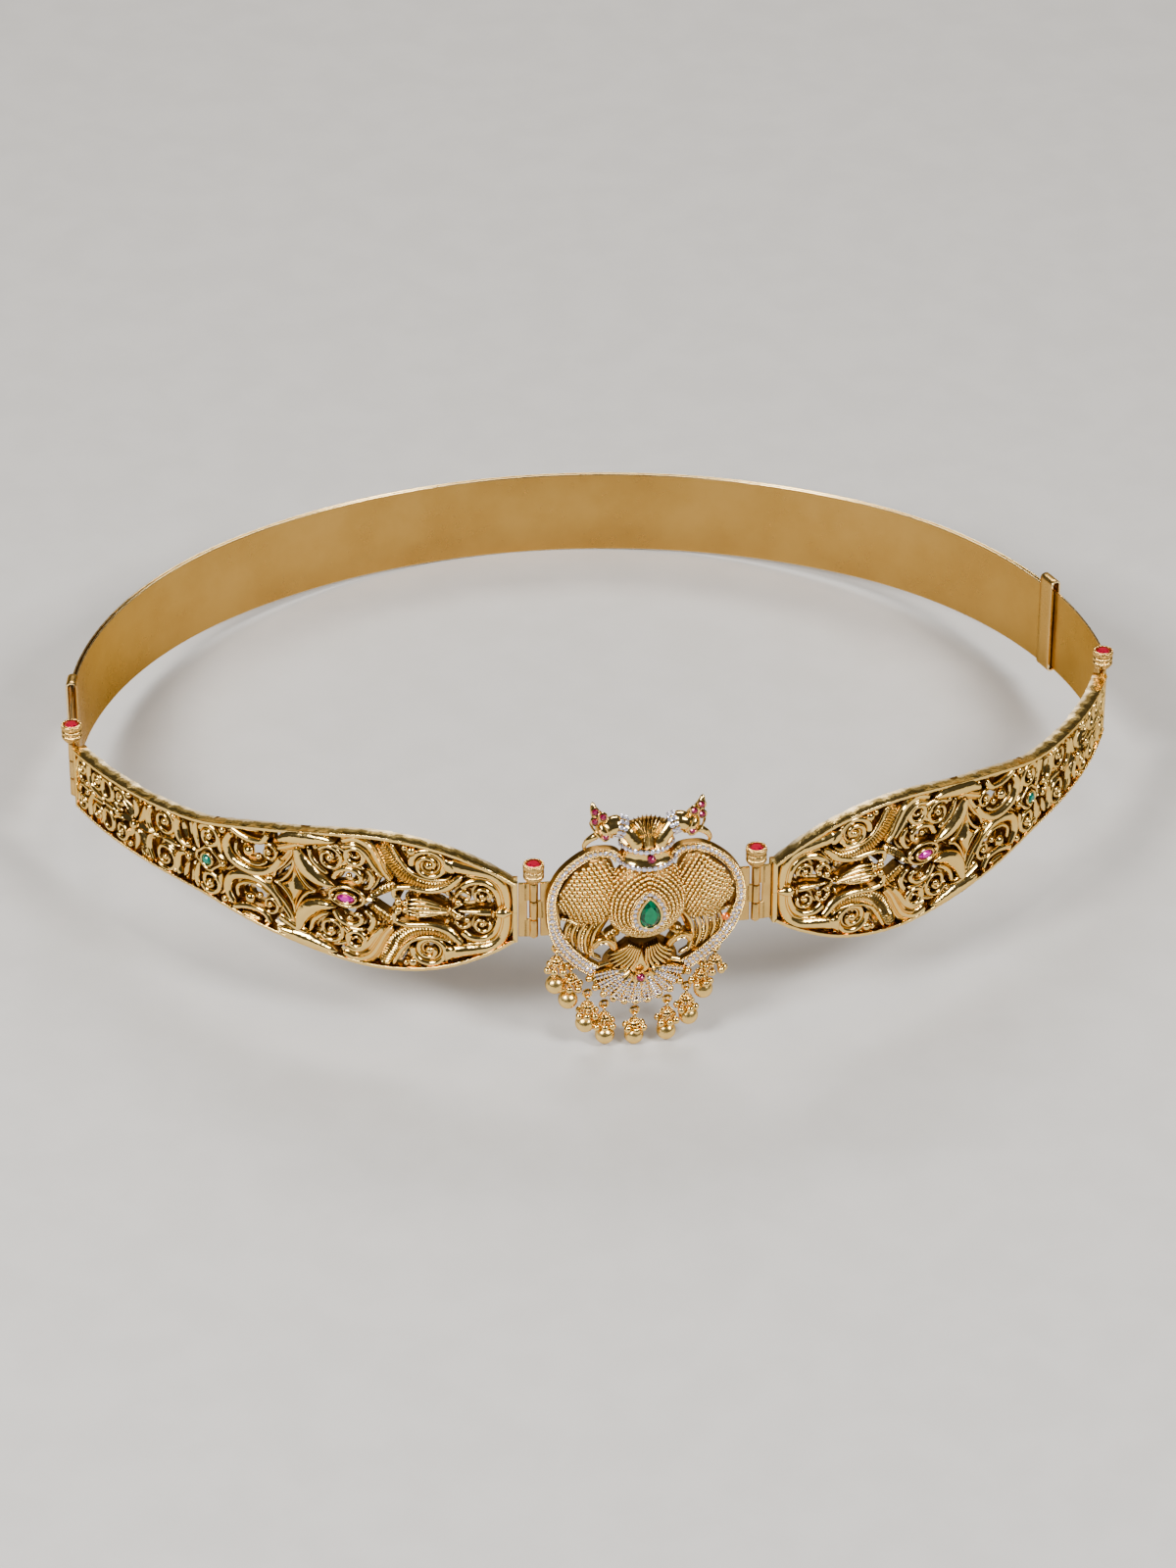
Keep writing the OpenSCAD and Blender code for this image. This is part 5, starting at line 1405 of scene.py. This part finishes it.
HEAD = [(x, z, out + 0.15, (0.1, 0.1, 1)) for x, z, out in CREST + [EYE]]
for name, places, width, node, hand, colour, slot, seed in (
        ("collar_red_stone", [(0.6, 16.5, 6.75, (0, 0.1, 1))], 2.3, "collar_ruby", 1, RUBY, "ruby", 41),
        ("skirt_red_stone", [(0, -20.4, 5.25, (0, 0, 1))], 2.5, "skirt_ruby", 1, RUBY, "ruby", 41),
        ("head_red_stones_left", HEAD, 1.95, "head_rubies_left", -1, RUBY, "ruby", 41),
        ("head_red_stones_right", HEAD, 1.95, "head_rubies_right", 1, RUBY, "ruby", 41),
        ("orange_cut_stone", [(21.4, -4.9, 2.9, (0, 0, 1))], 2.4, "orange_stone", 1, ORANGE, "orange_stone", 42)):
    spots = Spots(on_pendant)
    for *point, out in places:
        spots.put(point, 1.0, out)
    set_stones(name, spots, width, "pendant", (hand,), (node,), seed, HIGH_CUT, colour, slot)


# Drops

def turned(r, profile, at=(0.0, 0.0), around=28, tone=0.9, ribs=None, hollow_through=False):
    """A lathe shape on an upright axis; profile runs as (radius, height), ribs as (count, depth, low, high)."""
    a = turns(around)
    rows = []
    for radius, height in profile:
        size = np.full(around, radius)
        if ribs and ribs[2] <= height <= ribs[3]:
            size = size - ribs[1] * (0.5 - 0.5 * np.cos(ribs[0] * a))
        rows.append(np.stack([at[0] + size * np.cos(a), at[1] + size * np.sin(a), np.full(around, height)], 1))
    r.rings(rows, tone, closed=hollow_through)


def globe(r, x, y, z, radius, around=24, rows=16, tone=0.9):
    """A round ball in plain space."""
    profile = [(max(radius * math.sin(v), 0.02), z + radius * math.cos(v)) for v in np.linspace(np.pi, 0, rows + 1)]
    turned(r, profile, (x, y), around, tone)


def bead_ring(r, count, radius, level, size, around=6, rows=4, x=0.0, shift=0.0):
    """Small balls in a ring round an upright axis."""
    for k in range(count):
        v = 2 * math.pi * (k + shift) / count
        globe(r, x + radius * math.cos(v), radius * math.sin(v), level, size, around, rows)


def drop(number, x, z, shift, length):
    """Jump ring, beaded cap, six small balls on links, four slim links and the large ball."""
    r = Relief()
    ring(r, (0, 0, -1.38), (1, 0, 0), 1.2, 0.3, around=26)
    turned(r, [(0.02, -2.35), (0.42, -2.4), (0.62, -2.55), (0.5, -2.75), (0.62, -2.9), (1.05, -3.05), (1.42, -3.5),
               (1.6, -4.0), (1.68, -4.15), (1.68, -4.3), (1.5, -4.4), (0.02, -4.4)], around=24)
    for level, radius, count in ((-2.95, 0.92, 8), (-3.42, 1.4, 12), (-4.22, 1.68, 14)):
        bead_ring(r, count, radius, level, 0.28, shift=0.3 * number)
    for k in range(6):
        v = math.radians(60 * k + 7 * number)
        c, s, down = math.cos(v), math.sin(v), -1.0 if 0 < length < 8 else 0.5 * (k % 2)
        ring(r, (1.36 * c, 1.36 * s, -4.6), (-s, c, 0), 0.42, 0.17, around=12, sides=6)
        globe(r, 1.66 * c, 1.66 * s, -5.0 - 0.3 * down, 0.36, 8, 5)
        globe(r, 1.98 * c, 1.98 * s, -5.3 - 0.7 * down, 0.3, 8, 5)
        globe(r, 2.4 * c, 2.4 * s, -6.0 - down, 1.04, 18, 11)
    for k in range(4):
        v = math.radians(90 * k + 45)
        turned(r, [(0.02, -4.3), (0.16, -4.35), (0.2, -4.7), (0.4, -5.2), (0.47, -5.7), (0.4, -6.15), (0.2, -6.4),
                   (0.02, -6.46)], (1.2 * math.cos(v), 1.2 * math.sin(v)), 10)
    if length:
        turned(r, [(0.36, -4.3), (0.34, -length + 3.0), (0.7, -length + 2.92), (0.78, -length + 2.8),
                   (0.7, -length + 2.6), (0.3, -length + 2.5)], (shift * 0.6, 0), 14)
        globe(r, shift, 0, -length + 0.25, 2.6, 40, 26, 1.5)
        bead_ring(r, 11, 0.86, -length + 2.7, 0.19, x=shift)
    lean = ASKEW * min(z, 0)
    points, faces, tones = r.laid(lambda p, hand: stand(np.asarray(p) + [x + lean, HINGE_Y - LUG_OUT, z]))
    piece("drop_with_balls_%d" % number, points, faces, CAST, "pendant", "ornament_gold", tones, crease=60,
          instead=("drop_%d" % number,))


for number, (x, z, shift, length) in enumerate(DROPS, 1):
    drop(number, x, z, shift, length)


# Hinges and pins

def slab(r, x0, x1, y0, y1, z0, z1, b=0.14):
    """A plate with bevelled edges."""
    def loop(inset, z):
        a, c, d, e = x0 + inset, x1 - inset, y0 + inset, y1 - inset
        return [(a + b, d, z), (c - b, d, z), (c, d + b, z), (c, e - b, z), (c - b, e, z), (a + b, e, z),
                (a, e - b, z), (a, d + b, z)]
    # Painted highlight on the bevels: their tone is higher than the faces'.
    r.rings([loop(b, z0), loop(0, z0 + b), loop(0, z1 - b), loop(b, z1)],
            np.array([[1], [0.6], [0.6], [1]]) * np.ones((1, 8)) * 0.8)


# Height between two knuckles, half a knuckle's height, bore of a close fit, and bearings of the panels' leaves.
KNUCKLE_PITCH, KNUCKLE_HALF, BORE = 5.5, 2.6, 0.6
FRONT_BEARING, BACK_BEARING = 172.96, -69.5


def leaf_shape(levels, bore, long):
    """Knuckles at the given levels with the plate of their hinge leaf."""
    r = Relief()
    for k in levels:
        low, high = KNUCKLE_PITCH * k - KNUCKLE_HALF, KNUCKLE_PITCH * k + KNUCKLE_HALF
        turned(r, [(bore, low + 0.1), (0.98, low), (1.14, low + 0.05), (1.2, low + 0.2), (1.2, high - 0.2),
                   (1.14, high - 0.05), (0.98, high), (bore, high - 0.1)],
               around=28, tone=0.5, hollow_through=True)
        slab(r, 1.0, 2.5, -0.5, 0.5, low, high, 0.1)
    slab(r, 1.7, long, -0.5, 0.5, -8.1, 8.1)
    return r


def leaf_at(r, x, y, degrees):
    """A hinge leaf turned about its pin and stood at a hinge."""
    a = math.radians(degrees)
    def surface(p, hand):
        px, py, pz = np.asarray(p, float).T
        return at_hinge(np.stack([px * math.cos(a) - py * math.sin(a), px * math.sin(a) + py * math.cos(a), pz], 1),
                        x, y)
    return r.laid(surface)


for side, hand in SIDES:
    turn = lambda v: v if hand < 0 else 180 - v
    for name, levels, bore, long, x, y, degrees, node, body in (
            ("panel_front_hinge_leaf_", (-1, 1), BORE, 4.0, HINGE_X, HINGE_Y, FRONT_BEARING,
             "leaf_%s_front", side + "_panel"),
            ("panel_back_hinge_leaf_", (-1, 1), BORE, 4.0, BACK_HINGE_X, BACK_HINGE_Y, BACK_BEARING,
             "leaf_%s_back", side + "_panel"),
            ("pendant_hinge_leaf_", (0,), 0.82 if hand < 0 else BORE, 7.0, HINGE_X, HINGE_Y, 0,
             "pendant_leaf_%s", "pendant")):
        points, faces, tones = leaf_at(leaf_shape(levels, bore, long), hand * x, y, turn(degrees))
        piece(name + side, points, faces, HINGE, body, "hinge_gold", tones, crease=30, instead=(node % side,))


def pin_shape():
    """Shaft, collar and a round head with two milled belts and a beaded bezel."""
    r = Relief()
    turned(r, [(0.02, -8.7), (0.4, -8.7), (0.55, -8.5), (0.55, 8.6), (1.7, 8.6), (1.85, 8.7), (1.9, 8.85),
               (1.88, 9.15), (1.8, 9.3), (2.2, 9.3), (2.4, 9.42), (2.62, 9.75), (2.7, 9.9), (2.76, 9.95),
               (2.78, 10.2), (2.76, 10.5), (2.5, 10.7), (2.45, 10.8), (2.5, 10.95), (2.76, 11.1), (2.8, 11.5),
               (2.76, 11.9),
               (2.52, 12.08), (2.5, 12.2), (2.56, 12.35), (2.82, 12.55), (2.86, 13.1), (2.82, 13.55), (2.66, 13.78),
               (2.4, 13.9), (2.3, 13.98), (2.08, 13.98), (2.02, 13.8), (2.0, 13.0), (0.02, 12.9)],
           around=112, tone=0.6, ribs=(28, 0.16, 9.9, 13.6))
    bead_ring(r, 30, 2.52, 13.82, 0.26, 7, 5)
    bead_ring(r, 26, 1.9, 9.0, 0.2)
    return r


for name, x, y in PIN_PLACES:
    points, faces, tones = pin_shape().laid(lambda p, hand: at_hinge(p, x, y))
    piece("hinge_pin_" + name, points, faces, HINGE, name + "_pin", "hinge_gold", tones, crease=50,
          instead=("pin_" + name,))
    lone_stone("red_stone_" + name, cut_stone(12, 3.9, 3.9, 0.8, 0.5, 0.6, seed=len(name)), (0, 0, 13.4),
               lambda p: at_hinge(p, x, y), RED, name + "_pin", "ruby", "pin_ruby_" + name)


# Bands

# Plan of the bands: radius of the rear arc and of the side arcs, degrees where they meet, and the rear arc's centre.
REAR_RADIUS, SIDE_RADIUS, ARCS_MEET, ARC_Y = 160, 120, 35, -21


def run_point(u, inset):
    """Plan of the bands: a flatter arc behind, tighter arcs at the sides; u in degrees."""
    a, split, apart = math.radians(u), math.radians(ARCS_MEET), REAR_RADIUS - SIDE_RADIUS
    if abs(u) <= ARCS_MEET:
        return (REAR_RADIUS + inset) * math.sin(a), ARC_Y + (REAR_RADIUS + inset) * math.cos(a)
    return (math.copysign(1, u) * apart * math.sin(split) + (SIDE_RADIUS + inset) * math.sin(a),
            ARC_Y + apart * math.cos(split) + (SIDE_RADIUS + inset) * math.cos(a))


# Section of a band: share of half its thickness, height, and how much painted highlight its edge takes.
SHEET = [(-1, -12.1, 0), (-1, 0, 0), (-1, 12.1, 0), (-0.9, 12.36, 0.8), (-0.5, 12.48, 1), (0, 12.5, 1),
         (0.5, 12.48, 1), (0.9, 12.36, 0.8), (1, 12.1, 0), (1, 0, 0), (1, -12.1, 0), (0.9, -12.36, 0.8),
         (0.5, -12.48, 1), (0, -12.5, 1), (-0.5, -12.48, 1), (-0.9, -12.36, 0.8)]
# Inner height of a keeper over and under the middle of the bands, its sheet, and bevel and length of its end lips.
KEEPER_TOP, KEEPER_FOOT, KEEPER_SHEET = 15.2, -12.9, 0.6
LIP_BEVEL, LIP_TURN = 0.12, 0.08


def band_piece(name, first, last, middle, keeper_first, keeper_last, inner, outer, side, node):
    """One thin band with its folded keeper and its hinge leaf."""
    r = Relief()
    angles = np.linspace(first, last, int((last - first) / 0.7) + 1)
    way = np.cumsum([0] + [math.dist(run_point(a, 0), run_point(b, 0)) for a, b in zip(angles, angles[1:])])
    rows = [[(*run_point(u, middle + 0.3 * q), z) for q, z, _ in SHEET] for u in angles]
    r.rings(rows, [[e for _, _, e in SHEET]] * len(rows))
    uvs = [(s / 1000, z / 1000) for s in way for _, z, _ in SHEET]
    # Keeper: a sleeve of 0.6 mm sheet, folded over in a loop above the bands and a tight hook below.
    def sleeve(grow, u):
        low, high, top, foot = inner + 0.1 - grow, outer - 0.1 + grow, KEEPER_TOP + grow, KEEPER_FOOT - grow
        c, loop = 0.45 * (high - low), []
        for cx, cz, start in ((high - c, top - c, 0), (low + c, top - c, 90), (low + c, foot + c, 180),
                              (high - c, foot + c, 270)):
            loop += [(*run_point(u, cx + c * math.cos(math.radians(start + v))),
                      cz + c * math.sin(math.radians(start + v))) for v in (0, 22.5, 45, 67.5, 90)]
        return loop
    stops = np.linspace(keeper_first, keeper_last, 5)
    outside = [(stops[0], LIP_BEVEL), (stops[0] + LIP_TURN, 0), *((u, 0) for u in stops[1:-1]),
               (stops[-1] - LIP_TURN, 0), (stops[-1], LIP_BEVEL)]
    rows = [sleeve(KEEPER_SHEET - bevel, u) for u, bevel in outside]
    rows += [sleeve(bevel, u) for u, bevel in outside[::-1]]
    # Painted highlight on the keeper's lips.
    lights = [[1.0] * 20 if k in (0, 6, 7, 13) else [0.1] * 20 for k in range(14)]
    r.rings(rows, lights, closed=True)
    uvs += [(p[0] / 1000, p[2] / 1000) for row in rows for p in row]
    # Hinge leaf.
    leaf = leaf_shape((0,), BORE, 7.0)
    hand = -1 if side == "left" else 1
    flat = np.vstack(leaf.points)
    turned_leaf = np.stack([hand * BACK_HINGE_X - flat[:, 1], BACK_HINGE_Y + flat[:, 0], flat[:, 2]], 1)
    # The leaf's tones become a faint painted highlight in the edge layer.
    r.add(turned_leaf, leaf.faces, np.concatenate(leaf.tones) * 0.6)
    uvs += [(p[1] / 1000, p[2] / 1000) for p in turned_leaf]
    points, faces, tones = r.laid(lambda p, _: stand(p))
    mesh = piece(name, points, faces, BAND, "bands", "band_gold", tones, crease=40, instead=(node,),
                 layer="edge").data
    chart = mesh.uv_layers.new(name="run")
    corner = np.empty(len(mesh.loops), np.int32)
    mesh.loops.foreach_get("vertex_index", corner)
    chart.data.foreach_set("uv", np.asarray(uvs, np.float32)[corner].ravel())


band_piece("inner_plain_band", -89.3, 73.3, 0.0, 70.5, 73.5, -0.3, 1.7, "left", "band_inner")
band_piece("outer_plain_band", -81, 88.9, 0.95, -82.6, -80, -0.75, 1.25, "right", "band_outer")


# Floor, light and camera

def floor():
    mesh = bpy.data.meshes.new("floor")
    mesh.from_pydata([(-4, -4, 0), (4, -4, 0), (4, 6, 0), (-4, 6, 0)], [], [(0, 1, 2, 3)])
    mesh.materials.append(floor_finish())
    thing = bpy.data.objects.new("floor", mesh)
    bpy.context.scene.collection.objects.link(thing)
    thing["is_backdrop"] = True


def softbox(name, place, aim, wide, tall, watts, colour=(1, 1, 1)):
    lamp = bpy.data.lights.new(name, "AREA")
    lamp.shape, lamp.size, lamp.size_y, lamp.energy, lamp.color = "RECTANGLE", wide, tall, watts, colour
    thing = bpy.data.objects.new(name, lamp)
    thing.location = place
    thing.rotation_euler = (Vector(aim) - Vector(place)).to_track_quat("-Z", "Y").to_euler()
    bpy.context.scene.collection.objects.link(thing)


floor()
softbox("left_box", (-0.7, -0.5, 0.8), (0, -0.03, 0.03), 0.36, 0.36, 22)
softbox("right_box", (0.65, -0.6, 0.85), (0, -0.03, 0.03), 0.34, 0.34, 19)
softbox("rear_box", (0.1, 0.9, 0.9), (0, 0, 0.03), 0.8, 0.25, 12, (1, 0.97, 0.93))
sky = bpy.data.worlds.new("studio")
sky.use_nodes = True
sky.node_tree.nodes["Background"].inputs[0].default_value = (0.62, 0.61, 0.60, 1)
sky.node_tree.nodes["Background"].inputs[1].default_value = 0.10
bpy.context.scene.world = sky

lens = bpy.data.cameras.new("camera")
lens.lens, lens.sensor_width, lens.sensor_fit = 115.32, 36, "AUTO"
lens.clip_start, lens.clip_end = 0.05, 20
camera = bpy.data.objects.new("camera", lens)
right, up, back = (0.989144, -0.145374, 0.021439), (0.073081, 0.613238, 0.78651), (-0.127485, -0.776405, 0.617205)
camera.matrix_world = Matrix([(*row, at) for row, at in zip(zip(right, up, back),
                                                            (-0.17951, -1.10228, 0.87442))] + [(0, 0, 0, 1)])
bpy.context.scene.collection.objects.link(camera)
bpy.context.scene.camera = camera

{name: [[float(v) for v in corner] for corner in box] for name, box in (("solids", solid_box), ("visual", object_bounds()))}
